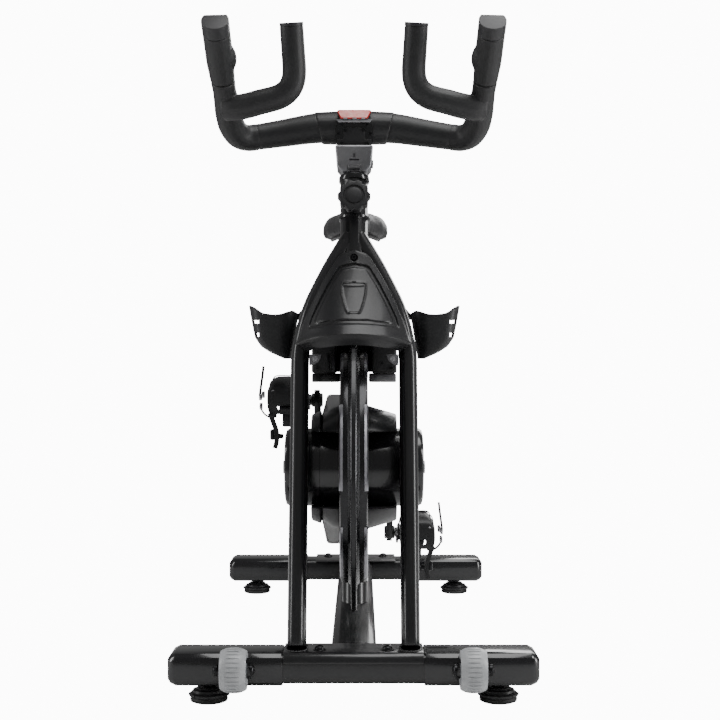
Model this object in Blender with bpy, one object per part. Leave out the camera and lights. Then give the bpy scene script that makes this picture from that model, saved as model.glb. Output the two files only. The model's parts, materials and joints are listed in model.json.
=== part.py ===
"""Indoor-cycling exercise bike, built as an assembly of separate pieces.

Frame of reference: the bike faces -Y, the rider's left is +X and +Z is up. The origin lies on the
floor, in the middle of the whole bike. Every length is in metres and every angle in degrees until
it is used. Pieces that move have their origin on their joint's axis.
"""

from math import acos, atan2, cos, pi, radians, sin, tan

import bmesh
import bpy
from mathutils import Matrix, Vector

# ---------------------------------------------------------------- driving dimensions
GAP = 0.0003                       # clearance between pieces that touch
SLIDE_FIT = 0.0004                 # clearance round a piece that slides or turns

STABILIZER_WIDTH = 0.550
STABILIZER_SPACING = 1.000
STABILIZER_DEPTH = 0.080
STABILIZER_HEIGHT = 0.0505
STABILIZER_BOTTOM = 0.029
STABILIZER_CORNER = 0.014
COVER_INNER_END = 0.105            # half the width of bare tube between the two plastic covers
COVER_WALL = 0.0027
TUBE_WALL = 0.0025

FOOT_RADIUS = 0.030
FOOT_X = 0.2166
FOOT_STUD_RADIUS = 0.005

WHEEL_RADIUS = 0.033
WHEEL_WIDTH = 0.026
WHEEL_X = 0.175
WHEEL_HEIGHT = 0.058
WHEEL_REACH = 0.015                # axle centre, in front of the stabilizer's front face
WHEEL_AXLE_RADIUS = 0.004
WHEEL_LUG = 0.004

BEAM_WIDTH = 0.070
BEAM_BOTTOM = 0.037
BEAM_TOP = 0.077
REAR_PLATE_WIDTH = 0.172
PLATE_THICKNESS = 0.0027
PLATE_DROP = 0.012

FORK_LEAN = 15.0
LEG_X = 0.0852
LEG_WIDTH = 0.0285
LEG_DEPTH = 0.055
LEG_STRAIGHT = 0.440               # length of the straight part, along the lean
CROWN_BOTTOM = 0.583
CROWN_HEIGHT = 0.052
CROWN_TOP_HALF = 0.0265
POST_RADIUS = 0.0225
POST_WALL = 0.003
POST_BOTTOM = 0.540
POST_TOP = 0.746
SLEEVE_FLANGE_RADIUS = 0.025
SLEEVE_FLANGE_HEIGHT = 0.010
SLIDER_WIDTH = 0.022
SLIDER_DEPTH = 0.026
SLIDER_BOTTOM = 0.560
SLIDER_CORNER = 0.003

MASK_BOTTOM = 0.457
MASK_TOP = 0.640
MASK_WALL = 0.003
MASK_EDGE_INSET = 0.008            # legs stand proud of the mask's edge by this much
MASK_BULGE = 0.060

AXLE_BACK = 0.170                  # flywheel axle, behind the front stabilizer's centre
AXLE_HEIGHT = 0.338
AXLE_RADIUS = 0.010
FLYWHEEL_RADIUS = 0.230
FLYWHEEL_RIM_THICKNESS = 0.009
FLYWHEEL_BODY_RADIUS = 0.185
FLYWHEEL_BODY_HALF = 0.0215
HUB_NOSE_RADIUS = 0.063
HUB_NOSE_END = 0.111
HUB_FLARE_RADIUS = 0.100
HUB_FLARE_END_RADIUS = 0.085
HUB_FLARE_END = 0.068
HUB_WALL = 0.003
HUB_LUG_HALF = 0.020
HUB_LUG_WIDTH = 0.014
FLYWHEEL_PULLEY_RADIUS = 0.030

BRACKET_BACK = 0.500               # bottom bracket, behind the front stabilizer's centre
BRACKET_HEIGHT = 0.310
BRACKET_SHELL_RADIUS = 0.024
BRACKET_SHELL_LEFT = 0.034
CRANK_AXLE_RADIUS = 0.010
CRANK_PULLEY_RADIUS = 0.120
BELT_THICKNESS = 0.003
BELT_WIDTH = 0.016
BELT_TO_COVER = 0.014              # room between the belt and its cover's edge
BELT_TO_RIM = 0.013                # from the belt's middle to its cover's open rim
BELT_TO_FACE = 0.015               # from the belt's middle to its cover's outer face
COVER_TO_TUBE = 0.0015             # room between the seat tube and the belt cover
COVER_TO_CRANK = 0.0046
CRANK_TO_PEDAL = 0.0054
BELT_COVER_WALL = 0.0025
CRANK_LENGTH = 0.170
CRANK_ANGLE = 40.0
CRANK_THICKNESS = 0.0195
CRANK_END_RADIUS = 0.0155
CRANK_HUB_RADIUS = 0.0205

PEDAL_WIDTH = 0.070
PEDAL_LENGTH = 0.088
PEDAL_THICKNESS = 0.022
PEDAL_SPINDLE_RADIUS = 0.007
TOE_CAGE_REACH = 0.084
TOE_CAGE_HEIGHT = 0.040
TOE_CAGE_SHEET = 0.003

FRAME_TUBE_RADIUS = 0.0225
MAIN_TUBE_RADIUS = 0.0220
MAIN_TUBE_START = 0.668            # along the head post
MAIN_TUBE_END = 0.200              # along the seat tube
SEAT_LEAN = 18.0
SEAT_TUBE_LENGTH = 0.310
SEAT_POST_BOTTOM = 0.050
RAIL_BOTTOM = 0.700
RAIL_HEIGHT = 0.016
RAIL_WIDTH = 0.042
RAIL_FRONT = 0.585
RAIL_BACK = 0.745
CARRIAGE_LENGTH = 0.110
CARRIAGE_CENTRE = 0.695
CARRIAGE_HEIGHT = 0.020
PILLAR_RADIUS = 0.014              # carriage pillar that carries the saddle
SADDLE_TRAVEL = 0.030
SADDLE_LENGTH = 0.280
SADDLE_WIDTH = 0.142
SADDLE_NOSE_WIDTH = 0.040
SADDLE_BOTTOM = 0.752
SADDLE_HEIGHT = 0.062
SADDLE_FRONT = 0.560

BRAKE_WIDTH = 0.146
BRAKE_FRONT = 0.200
BRAKE_LENGTH = 0.130
BRAKE_BOTTOM = 0.474
BRAKE_HEIGHT = 0.121
BRAKE_SLOT = 0.055
BRAKE_ROOF = 0.014
YOKE_HALF = 0.018
YOKE_SLOT_HALF = 0.009
YOKE_INNER_RADIUS = 0.192
YOKE_OUTER_RADIUS = 0.242
YOKE_START = 15.0
YOKE_END = 40.0
ROD_RADIUS = 0.005
ROD_BACK = 0.270
ROD_BOTTOM = 0.5735
RESISTANCE_KNOB_RADIUS = 0.022
RESISTANCE_KNOB_HEIGHT = 0.036
RESISTANCE_KNOB_BOTTOM = 0.7150

HOLDER_FRONT = 0.235
HOLDER_LENGTH = 0.100
HOLDER_BOTTOM = 0.513
HOLDER_HEIGHT = 0.090
HOLDER_INNER_X = 0.108
HOLDER_OUTER_X = 0.155
HOLDER_TOP_INNER_X = 0.095
HOLDER_TOP_OUTER_X = 0.183
HOLDER_WALL = 0.003

STEM_HALF_WIDTH = 0.030
STEM_BOTTOM = 0.816
STEM_HEIGHT = 0.0435
STEM_FRONT = 0.182
STEM_LENGTH = 0.084
STEM_CHAMFER = 0.010
BAR_RADIUS = 0.0215
BAR_BACK = 0.240
BAR_HEIGHT = 0.898
BAR_DROP = 0.0163                  # how far the middle bar falls towards its ends
BAR_CENTRE_HALF = 0.160            # half length of the straight middle bar
CLAMP_HALF_WIDTH = 0.0585
CLAMP_DEPTH = 0.056
HORN_X = 0.2115
HORN_TIP_BACK = 0.050
HORN_TIP_HEIGHT = 1.030
LOOP_RADIUS = 0.0195
LOOP_CORNER_X = 0.095
LOOP_TIP_X = 0.099
LOOP_BACK = 0.148
LOOP_TIP_HEIGHT = 1.045
PLATE_HALF_WIDTH = 0.031
PLATE_BOTTOM = 0.860
PLATE_HEIGHT = 0.044
FRONT_PLATE_THICKNESS = 0.005
CONSOLE_HALF_WIDTH = 0.028
CONSOLE_HEIGHT = 0.0165
CONSOLE_DEPTH = 0.016

KNOB_RADIUS = 0.025
KNOB_LOBES = 10
KNOB_LENGTH = 0.024
KNOB_STUD_RADIUS = 0.004
HANDLEBAR_KNOB_ALONG = 0.701
SEAT_KNOB_ALONG = 0.268

ROUND = 20                         # sides of an ordinary round piece
BAR_ROUND = 16                     # sides of the handlebar's tubes
FINE_ROUND = 40                    # sides of a large round piece

# ---------------------------------------------------------------- worked-out places
FRONT_FACE = -STABILIZER_DEPTH / 2
WHEEL_BACK = FRONT_FACE - WHEEL_REACH
BIKE_FRONT = WHEEL_BACK - WHEEL_RADIUS
BIKE_BACK = STABILIZER_SPACING + STABILIZER_DEPTH / 2
FRONT_LINE_Y = -(BIKE_FRONT + BIKE_BACK) / 2
STABILIZER_TOP = STABILIZER_BOTTOM + STABILIZER_HEIGHT
TUBE_INSET = COVER_WALL + GAP
BELT_COVER_RIM = -(max(POST_RADIUS, FRAME_TUBE_RADIUS) + COVER_TO_TUBE)
BELT_X = BELT_COVER_RIM - BELT_TO_RIM
BELT_COVER_FACE = BELT_X - BELT_TO_FACE
BELT_COVER_RADIUS = CRANK_PULLEY_RADIUS + BELT_THICKNESS + BELT_TO_COVER
CRANK_INNER = -BELT_COVER_FACE + COVER_TO_CRANK
PEDAL_INNER = CRANK_INNER + CRANK_THICKNESS + CRANK_TO_PEDAL
LEAN = radians(FORK_LEAN)
SEAT_TILT = radians(SEAT_LEAN)

# colour, roughness and metallic value of each finish
FINISHES = {
    "black_paint": ((0.012, 0.012, 0.013), 0.38, 0.0),
    "gloss_plastic": ((0.010, 0.010, 0.011), 0.16, 0.0),
    "satin_plastic": ((0.020, 0.020, 0.021), 0.45, 0.0),
    "soft_grip": ((0.018, 0.018, 0.019), 0.70, 0.0),
    "silver_metal": ((0.62, 0.62, 0.64), 0.28, 1.0),
    "grey_metal": ((0.30, 0.30, 0.31), 0.35, 1.0),
    "dark_steel": ((0.06, 0.06, 0.062), 0.35, 1.0),
    "rubber": ((0.022, 0.022, 0.022), 0.80, 0.0),
    "pale_plastic": ((0.55, 0.56, 0.57), 0.40, 0.0),
    "vinyl": ((0.015, 0.015, 0.016), 0.50, 0.0),
}


# ---------------------------------------------------------------- outlines
def rounded_rectangle(width, height, radius, steps=3):
    """Corner points of a rectangle about the origin, its corners rounded."""
    points = []
    for quarter, (sign_a, sign_b) in enumerate(((1, 1), (-1, 1), (-1, -1), (1, -1))):
        for step in range(steps + 1):
            angle = pi / 2 * (quarter + step / steps)
            a = sign_a * (width / 2 - radius) + radius * cos(angle)
            b = sign_b * (height / 2 - radius) + radius * sin(angle)
            points.append((a, b))
    return points


def circle(radius, sides=ROUND):
    """Points of a circle about the origin."""
    return [(radius * cos(2 * pi * i / sides), radius * sin(2 * pi * i / sides)) for i in range(sides)]


def arc(centre, radius, start, end, steps):
    """Points of an arc; the angles are in degrees."""
    angles = [radians(start + (end - start) * i / steps) for i in range(steps + 1)]
    return [(centre[0] + radius * cos(a), centre[1] + radius * sin(a)) for a in angles]


def belt_loop(small, large, steps=14):
    """Outline of a belt round the flywheel axle (radius small) and the bottom bracket (radius large)."""
    rise = BRACKET_HEIGHT - AXLE_HEIGHT
    run = BRACKET_BACK - AXLE_BACK
    length = (rise ** 2 + run ** 2) ** 0.5
    slope = degrees_of(atan2(rise, run))
    wrap = degrees_of(acos((small - large) / length))
    near_wrap = 360 - 2 * wrap
    near = arc((AXLE_BACK, AXLE_HEIGHT), outside_radius(small, near_wrap / steps),
               slope + wrap, slope + wrap + near_wrap, steps)
    far = arc((BRACKET_BACK, BRACKET_HEIGHT), outside_radius(large, 2 * wrap / steps),
              slope - wrap, slope + wrap, steps)
    return near + far


def outside_radius(radius, step):
    """The radius at which flats, each as wide as a step in degrees, just clear a circle."""
    return radius / cos(radians(step / 2))


def degrees_of(angle):
    """An angle in degrees."""
    return angle * 180 / pi


def smooth_path(points, steps=5):
    """Points of a Catmull-Rom curve through the given points."""
    knots = [Vector(p) for p in points]
    knots = [2 * knots[0] - knots[1]] + knots + [2 * knots[-1] - knots[-2]]
    path = []
    for a, b, c, d in zip(knots, knots[1:], knots[2:], knots[3:]):
        for i in range(steps):
            t = i / steps
            path.append(0.5 * (2 * b + (c - a) * t + (2 * a - 5 * b + 4 * c - d) * t ** 2
                               + (3 * b - a - 3 * c + d) * t ** 3))
    path.append(knots[-2])
    return path


# ---------------------------------------------------------------- meshes
def loft(loops, ring=False):
    """Skin loops of equal length, with both ends capped, or the last loop joined to the first."""
    mesh = bmesh.new()
    rows = [[mesh.verts.new(point) for point in loop] for loop in loops]
    pairs = list(zip(rows, rows[1:]))
    if ring:
        pairs.append((rows[-1], rows[0]))
    else:
        mesh.faces.new(rows[0])
        mesh.faces.new(rows[-1])
    for lower, upper in pairs:
        for i in range(len(lower)):
            j = (i + 1) % len(lower)
            mesh.faces.new((lower[i], lower[j], upper[j], upper[i]))
    return mesh


def on_axis(axis, along, a, b):
    """A point at a distance along an axis, and at (a, b) across it."""
    return {"X": (along, a, b), "Y": (a, along, b), "Z": (a, b, along)}[axis]


def prism(outline, axis, low, high):
    """An outline drawn across an axis, and extruded along it."""
    return loft([[on_axis(axis, along, a, b) for a, b in outline] for along in (low, high)])


def turned(profile, axis, sides=ROUND, ring=False, centre=(0, 0)):
    """A turned solid from (radius, along) points; a ring profile closes on itself."""
    loops = []
    for radius, along in profile:
        loops.append([on_axis(axis, along, centre[0] + a, centre[1] + b) for a, b in circle(radius, sides)])
    return loft(loops, ring)


def rod(radius, axis, low, high, centre=(0, 0), sides=ROUND):
    """A plain round bar."""
    return turned([(radius, low), (radius, high)], axis, sides, centre=centre)


def block(low, high, radius=0.0, segments=2):
    """A box between two corners, with its edges rounded."""
    mesh = bmesh.new()
    bmesh.ops.create_cube(mesh, size=1.0)
    size = Vector(high) - Vector(low)
    middle = (Vector(high) + Vector(low)) / 2
    for vertex in mesh.verts:
        vertex.co = middle + Vector(c * s for c, s in zip(vertex.co, size))
    if radius:
        bmesh.ops.bevel(mesh, geom=mesh.edges[:], offset=radius, segments=segments,
                        profile=0.5, affect="EDGES")
    return mesh


def sweep(path, section, side, first=None, last=None):
    """A section carried along a path; side is the section's first direction at the start.

    first and last set the path's direction at an end, so that the end face is square to it.
    """
    points = [Vector(p) for p in path]
    across = Vector(side)
    loops = []
    for i, point in enumerate(points):
        tangent = (points[min(i + 1, len(points) - 1)] - points[max(i - 1, 0)]).normalized()
        if first and i == 0:
            tangent = Vector(first)
        if last and i == len(points) - 1:
            tangent = Vector(last)
        across = (across - tangent * across.dot(tangent)).normalized()
        up = tangent.cross(across)
        loops.append([point + across * a + up * b for a, b in section])
    return loft(loops)


def mirrored(mesh):
    """The same mesh on the other side of X = 0."""
    bmesh.ops.transform(mesh, matrix=Matrix.Scale(-1, 4, (1, 0, 0)), verts=mesh.verts)
    return mesh


def on_side(mesh, side):
    """A mesh made for the left, on the side given: 1 is left, -1 is right."""
    return mesh if side > 0 else mirrored(mesh)


# ---------------------------------------------------------------- objects
def axis_empty(name, location, lean=0.0, parent=None):
    """An empty that holds an assembly; lean turns its Z axis back, away from the front."""
    empty = bpy.data.objects.new(name, None)
    empty.location = location
    empty.rotation_euler = (-lean, 0, 0)
    empty.parent = parent
    empty.empty_display_size = 0.05
    bpy.context.scene.collection.objects.link(empty)
    return empty


def material_for(name, finish):
    """A piece's own material."""
    colour, roughness, metallic = FINISHES[finish]
    material = bpy.data.materials.new(name + "_" + finish)
    material.use_nodes = True
    shader = material.node_tree.nodes["Principled BSDF"]
    shader.inputs["Base Color"].default_value = (*colour, 1.0)
    shader.inputs["Roughness"].default_value = roughness
    shader.inputs["Metallic"].default_value = metallic
    return material


def add_object(name, mesh, parent):
    """An object from a bmesh, with its faces turned outwards."""
    bmesh.ops.recalc_face_normals(mesh, faces=mesh.faces[:])
    data = bpy.data.meshes.new(name)
    mesh.to_mesh(data)
    mesh.free()
    piece = bpy.data.objects.new(name, data)
    piece.parent = parent
    bpy.context.scene.collection.objects.link(piece)
    return piece


def add_piece(name, mesh, finish, parent):
    """One sub-part of the bike."""
    piece = add_object(name, mesh, parent)
    piece.data.materials.append(material_for(name, finish))
    piece.data.shade_smooth()
    piece.data.set_sharp_from_angle(angle=radians(35))
    return piece


def combine(piece, operation, meshes, parent):
    """Boolean each mesh with a piece, through a hidden guide object."""
    for mesh in meshes:
        guide = add_object("guide_" + piece.name + "_" + str(len(piece.modifiers)), mesh, parent)
        guide.hide_render = True
        guide.display_type = "WIRE"
        modifier = piece.modifiers.new(operation.title(), "BOOLEAN")
        modifier.operation = operation
        modifier.solver = "EXACT"
        modifier.object = guide


def cut(piece, parent, *meshes):
    """Remove meshes from a piece."""
    combine(piece, "DIFFERENCE", meshes, parent)


def weld(piece, parent, *meshes):
    """Join meshes onto a piece as one body."""
    combine(piece, "UNION", meshes, parent)


def side_name(side):
    """The rider's side for a sign of X."""
    return "left" if side > 0 else "right"


# ---------------------------------------------------------------- base
def section_loop(x, inset, back):
    """The stabilizer's section at x, brought in by inset."""
    radius = max(STABILIZER_CORNER - inset, 0.002)
    outline = rounded_rectangle(STABILIZER_DEPTH - 2 * inset, STABILIZER_HEIGHT - 2 * inset, radius)
    middle = STABILIZER_BOTTOM + STABILIZER_HEIGHT / 2
    return [(x, back + a, middle + b) for a, b in outline]


def wheel_notch(grow):
    """Room round the transport wheel, on the left."""
    half = WHEEL_WIDTH / 2 + grow
    return rod(WHEEL_RADIUS + grow, "X", WHEEL_X - half, WHEEL_X + half, (WHEEL_BACK, WHEEL_HEIGHT), ROUND)


def wheel_lug(x, length):
    """A lug that carries one end of the transport wheel's axle."""
    radius = 2.3 * WHEEL_AXLE_RADIUS
    root = FRONT_FACE + 2 * COVER_WALL
    outline = arc((WHEEL_BACK, WHEEL_HEIGHT), radius, 90, 270, 6)
    outline += [(root, WHEEL_HEIGHT - 1.4 * radius), (root, WHEEL_HEIGHT + 1.4 * radius)]
    return prism(outline, "X", x, x + length)


def stud_hole(x, back):
    """The hole that a levelling foot's stud slides in."""
    return rod(FOOT_STUD_RADIUS + SLIDE_FIT, "Z", 0, STABILIZER_TOP - 3 * TUBE_INSET, (x, back), 16)


def build_stabilizer(end, back, frame):
    """A hollow oval tube with a plastic cover on each end."""
    half = STABILIZER_WIDTH / 2
    tube_end = half - 0.013
    loops = [section_loop(x, inset, back) for x, inset in (
        (-tube_end, TUBE_INSET), (tube_end, TUBE_INSET),
        (tube_end, TUBE_INSET + TUBE_WALL), (-tube_end, TUBE_INSET + TUBE_WALL))]
    tube = add_piece(end + "_stabilizer_tube", loft(loops, ring=True), "black_paint", frame)
    for side in (1, -1):
        cut(tube, frame, stud_hole(side * FOOT_X, back))
        loops = [section_loop(x, inset, back) for x, inset in (
            (tube_end + GAP, COVER_WALL), (COVER_INNER_END, COVER_WALL), (COVER_INNER_END, 0.001),
            (COVER_INNER_END + 0.002, 0), (half - 0.012, 0), (half - 0.004, 0.004), (half, 0.010))]
        name = end + "_cover_" + side_name(side)
        cover = add_piece(name, on_side(loft(loops), side), "satin_plastic", frame)
        cut(cover, frame, stud_hole(side * FOOT_X, back))
        if end == "front":
            cut(tube, frame, on_side(wheel_notch(COVER_WALL + 0.002), side))
            cut(cover, frame, on_side(wheel_notch(0.002), side))
            first = WHEEL_X - WHEEL_WIDTH / 2 - GAP - WHEEL_LUG
            second = WHEEL_X + WHEEL_WIDTH / 2 + GAP
            weld(cover, frame, *(on_side(wheel_lug(x, WHEEL_LUG), side) for x in (first, second)))
            bore = rod(WHEEL_AXLE_RADIUS + SLIDE_FIT, "X", first - 0.002, second + WHEEL_LUG + 0.002,
                       (WHEEL_BACK, WHEEL_HEIGHT), 16)
            cut(cover, frame, on_side(bore, side))


def wrap_outline(back):
    """A plate's outline: flat on the tube, and wrapped down the tube's front."""
    outer = STABILIZER_CORNER - COVER_WALL + PLATE_THICKNESS
    inner = STABILIZER_CORNER - COVER_WALL
    centre = (back + FRONT_FACE + STABILIZER_CORNER, STABILIZER_TOP - STABILIZER_CORNER)
    end = back - FRONT_FACE - TUBE_INSET
    low = STABILIZER_TOP - STABILIZER_CORNER - PLATE_DROP + 0.010
    outline = [(end, centre[1] + outer)] + arc(centre, outer, 90, 180, 5)
    outline += [(centre[0] - outer, low), (centre[0] - inner, low)]
    outline += arc(centre, inner, 180, 90, 5) + [(end, centre[1] + inner)]
    return outline


def build_base(frame):
    """Stabilizers, the beam between them and the plates that fasten it."""
    build_stabilizer("front", 0.0, frame)
    build_stabilizer("rear", STABILIZER_SPACING, frame)
    plate_half = COVER_INNER_END - 0.001
    add_piece("front_mount_plate", prism(wrap_outline(0.0), "X", -plate_half, plate_half),
              "black_paint", frame)
    start = -FRONT_FACE - TUBE_INSET + GAP
    end = STABILIZER_SPACING - start
    outline = rounded_rectangle(BEAM_WIDTH, BEAM_TOP - BEAM_BOTTOM, 0.012)
    middle = (BEAM_TOP + BEAM_BOTTOM) / 2
    outline = [(a, middle + b) for a, b in outline]
    beam = add_piece("base_beam", prism(outline, "Y", start, end), "black_paint", frame)
    tongue_front = STABILIZER_SPACING + FRONT_FACE - 0.030
    tongue_bottom = STABILIZER_TOP - PLATE_THICKNESS
    half = REAR_PLATE_WIDTH / 2
    tongue = block((-half, tongue_front, tongue_bottom),
                   (half, STABILIZER_SPACING - FRONT_FACE - TUBE_INSET, STABILIZER_TOP))
    weld(beam, frame, tongue)


def build_feet(frame):
    """Four levelling feet on threaded studs."""
    for end, back in (("front", 0.0), ("rear", STABILIZER_SPACING)):
        for side in (1, -1):
            name = "levelling_foot_" + end + "_" + side_name(side)
            axis = axis_empty(name + "_axis", (side * FOOT_X, back, 0), parent=frame)
            top = STABILIZER_BOTTOM
            profile = [(FOOT_RADIUS - 0.002, 0), (FOOT_RADIUS, 0.002), (FOOT_RADIUS, 0.010),
                       (FOOT_RADIUS - 0.004, 0.013), (FOOT_RADIUS - 0.004, top - 0.008),
                       (FOOT_RADIUS - 0.009, top - 0.004), (FOOT_RADIUS - 0.009, top - 0.001),
                       (FOOT_STUD_RADIUS, top - 0.001), (FOOT_STUD_RADIUS, top + 0.020)]
            add_piece(name, turned(profile, "Z", 16), "rubber", axis)


def build_wheels(frame):
    """Two transport wheels on the front stabilizer's covers."""
    half = WHEEL_WIDTH / 2
    lug_end = half + GAP + WHEEL_LUG + 0.002
    profile = [(WHEEL_AXLE_RADIUS, -lug_end), (WHEEL_AXLE_RADIUS, -half + 0.002), (0.020, -half),
               (WHEEL_RADIUS - 0.003, -half), (WHEEL_RADIUS, -half + 0.004), (WHEEL_RADIUS, half - 0.004),
               (WHEEL_RADIUS - 0.003, half), (0.020, half), (WHEEL_AXLE_RADIUS, half - 0.002),
               (WHEEL_AXLE_RADIUS, lug_end)]
    for side in (1, -1):
        name = "transport_wheel_" + side_name(side)
        axis = axis_empty(name + "_axis", (side * WHEEL_X, WHEEL_BACK, WHEEL_HEIGHT), parent=frame)
        add_piece(name, turned(profile, "X"), "pale_plastic", axis)


# ---------------------------------------------------------------- fork, head post and mask
def leg_centreline():
    """(x, along) points of the left leg, from its foot to the crown."""
    reach = CROWN_BOTTOM - GAP - LEG_STRAIGHT
    top_x = POST_RADIUS + LEG_WIDTH / 2 + 0.006
    bend = LEG_X - top_x
    curve = [(LEG_X - bend * (1 - cos(radians(80) * t)) / (1 - cos(radians(80))),
              LEG_STRAIGHT + reach * t) for t in (0, 0.15, 0.3, 0.45, 0.6, 0.75, 0.9, 1.0)]
    return [(LEG_X, 0.05), (LEG_X, LEG_STRAIGHT / 2)] + curve


def level_with(height, across):
    """How far along the fork a point lies that is at a height above its foot."""
    return height / cos(LEAN) + across * tan(LEAN)


def build_fork_leg(side, fork):
    """One leg: straight, then bent inwards to the crown; its foot is cut level."""
    line = leg_centreline()
    section = rounded_rectangle(LEG_WIDTH, LEG_DEPTH, LEG_WIDTH / 2 - 0.001, 4)
    loops = [[(LEG_X + a, b, level_with(0, b)) for a, b in section]]
    for i, (x, along) in enumerate(line):
        ahead = line[min(i + 1, len(line) - 1)]
        behind = line[max(i - 1, 0)]
        slope = atan2(ahead[0] - behind[0], ahead[1] - behind[1])
        loops.append([(x + a / cos(slope), b, along) for a, b in section])
    add_piece("fork_leg_" + side_name(side), on_side(loft(loops), side), "black_paint", fork)


def crown_mesh():
    """The lug that joins both legs to the head post."""
    foot = leg_centreline()[-1][0] + LEG_WIDTH * 0.56
    top = CROWN_BOTTOM + CROWN_HEIGHT
    outline = [(-foot, CROWN_BOTTOM), (foot, CROWN_BOTTOM), (CROWN_TOP_HALF, top), (-CROWN_TOP_HALF, top)]
    mesh = prism(outline, "Y", -LEG_DEPTH / 2, LEG_DEPTH / 2)
    bmesh.ops.bevel(mesh, geom=mesh.edges[:], offset=0.003, segments=2, profile=0.5, affect="EDGES")
    return mesh


def build_telescopic(name, tilt_frame, bottom, top, finish):
    """A round outer tube, and the plastic sleeve in it with a flange on top; returns the tube."""
    inner = POST_RADIUS - POST_WALL
    profile = [(POST_RADIUS, bottom), (POST_RADIUS, top), (inner, top), (inner, bottom)]
    tube = add_piece(name, turned(profile, "Z", ring=True), finish, tilt_frame)
    fit = inner - GAP
    low = bottom + 0.4 * (top - bottom)
    flange = top + GAP
    profile = [(fit, low), (fit, flange), (SLEEVE_FLANGE_RADIUS, flange),
               (SLEEVE_FLANGE_RADIUS, flange + SLEEVE_FLANGE_HEIGHT - 0.002),
               (SLEEVE_FLANGE_RADIUS - 0.002, flange + SLEEVE_FLANGE_HEIGHT)]
    sleeve = add_piece(name + "_sleeve", turned(profile, "Z"), "gloss_plastic", tilt_frame)
    hole = rounded_rectangle(SLIDER_WIDTH + 2 * SLIDE_FIT, SLIDER_DEPTH + 2 * SLIDE_FIT, SLIDER_CORNER, 2)
    cut(sleeve, tilt_frame, prism(hole, "Z", low - 0.01, top + 0.05))
    return tube, sleeve


def knob_mesh(axis, start, direction):
    """A lobed hand knob: its stud ends at start, and direction is the sign of the way it points."""
    head = start + direction * (POST_RADIUS - SLIDER_DEPTH / 2 + 0.016)
    end = head + direction * KNOB_LENGTH
    loops = []
    for radius, along in ((KNOB_STUD_RADIUS, start), (KNOB_STUD_RADIUS, head), (0.6, head),
                          (0.94, head + direction * 0.003), (1.0, head + direction * 0.006),
                          (1.0, end - direction * 0.005), (0.9, end - direction * 0.001), (0.8, end)):
        loop = []
        for i in range(2 * KNOB_LOBES):
            angle = 2 * pi * i / (2 * KNOB_LOBES)
            reach = radius if radius == KNOB_STUD_RADIUS else radius * KNOB_RADIUS
            wave = 1.0 if radius < 0.9 else 1.0 - 0.05 * (1 - cos(KNOB_LOBES * angle))
            loop.append(on_axis(axis, along, reach * wave * cos(angle), reach * wave * sin(angle)))
        loops.append(loop)
    return loft(loops)


def build_front_knob(name, along, tilt_frame, tube, sleeve):
    """A knob whose stud passes through a tube's front wall and clamps the slider."""
    slider_face = -SLIDER_DEPTH / 2 - GAP
    bore = KNOB_STUD_RADIUS + SLIDE_FIT
    for piece in (tube, sleeve):
        cut(piece, tilt_frame, rod(bore, "Y", -2 * POST_RADIUS, slider_face / 2, (0, along), 16))
    axis = axis_empty(name + "_axis", (0, 0, along), parent=tilt_frame)
    add_piece(name, knob_mesh("Y", slider_face, -1), "gloss_plastic", axis)


def mask_mesh():
    """The bulging front cover over the fork: a thin shell with an arched lower lip."""
    rows = 10
    columns = 12
    line = leg_centreline()
    shell = {}
    for layer, back in enumerate((0.0, MASK_WALL)):
        for row in range(rows + 1):
            share = row / rows
            along = MASK_BOTTOM + (MASK_TOP - MASK_BOTTOM) * share
            half = mask_half_width(along, line)
            bulge = MASK_BULGE * (1 - share) ** 1.5 + 0.004
            for column in range(columns + 1):
                u = 2 * column / columns - 1
                lip = 0.010 * (1 - u * u) * max(0.0, 1 - 3 * share)
                front = -(LEG_DEPTH / 2 + GAP + MASK_WALL) - bulge * (1 - u * u)
                shell[layer, row, column] = (half * u, front + back, along + lip)
    return mask_shell(shell, rows, columns)


def mask_half_width(along, line):
    """Half width of the mask: just inside the legs' outer edges, closing to a round top."""
    x = line[0][0]
    for (x_low, low), (x_high, high) in zip(line, line[1:]):
        if low <= along <= high:
            x = x_low + (x_high - x_low) * (along - low) / (high - low)
    if along > line[-1][1]:
        left = (MASK_TOP - along) / (MASK_TOP - line[-1][1])
        return max(0.009, (line[-1][0] + LEG_WIDTH / 2 - MASK_EDGE_INSET) * max(left, 0) ** 0.62)
    corner = max(0.0, 1 - (along - MASK_BOTTOM) / 0.015)
    return x + LEG_WIDTH / 2 - MASK_EDGE_INSET - 0.013 * corner


def mask_shell(shell, rows, columns):
    """Close a front and a back grid of points into one thin body."""
    mesh = bmesh.new()
    verts = {key: mesh.verts.new(point) for key, point in shell.items()}
    for layer in (0, 1):
        for row in range(rows):
            for column in range(columns):
                mesh.faces.new((verts[layer, row, column], verts[layer, row, column + 1],
                                verts[layer, row + 1, column + 1], verts[layer, row + 1, column]))
    border = [(0, c) for c in range(columns)] + [(r, columns) for r in range(rows)]
    border += [(rows, c) for c in range(columns, 0, -1)] + [(r, 0) for r in range(rows, 0, -1)]
    for (row, column), (next_row, next_column) in zip(border, border[1:] + border[:1]):
        mesh.faces.new((verts[0, row, column], verts[0, next_row, next_column],
                        verts[1, next_row, next_column], verts[1, row, column]))
    return mesh


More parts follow.
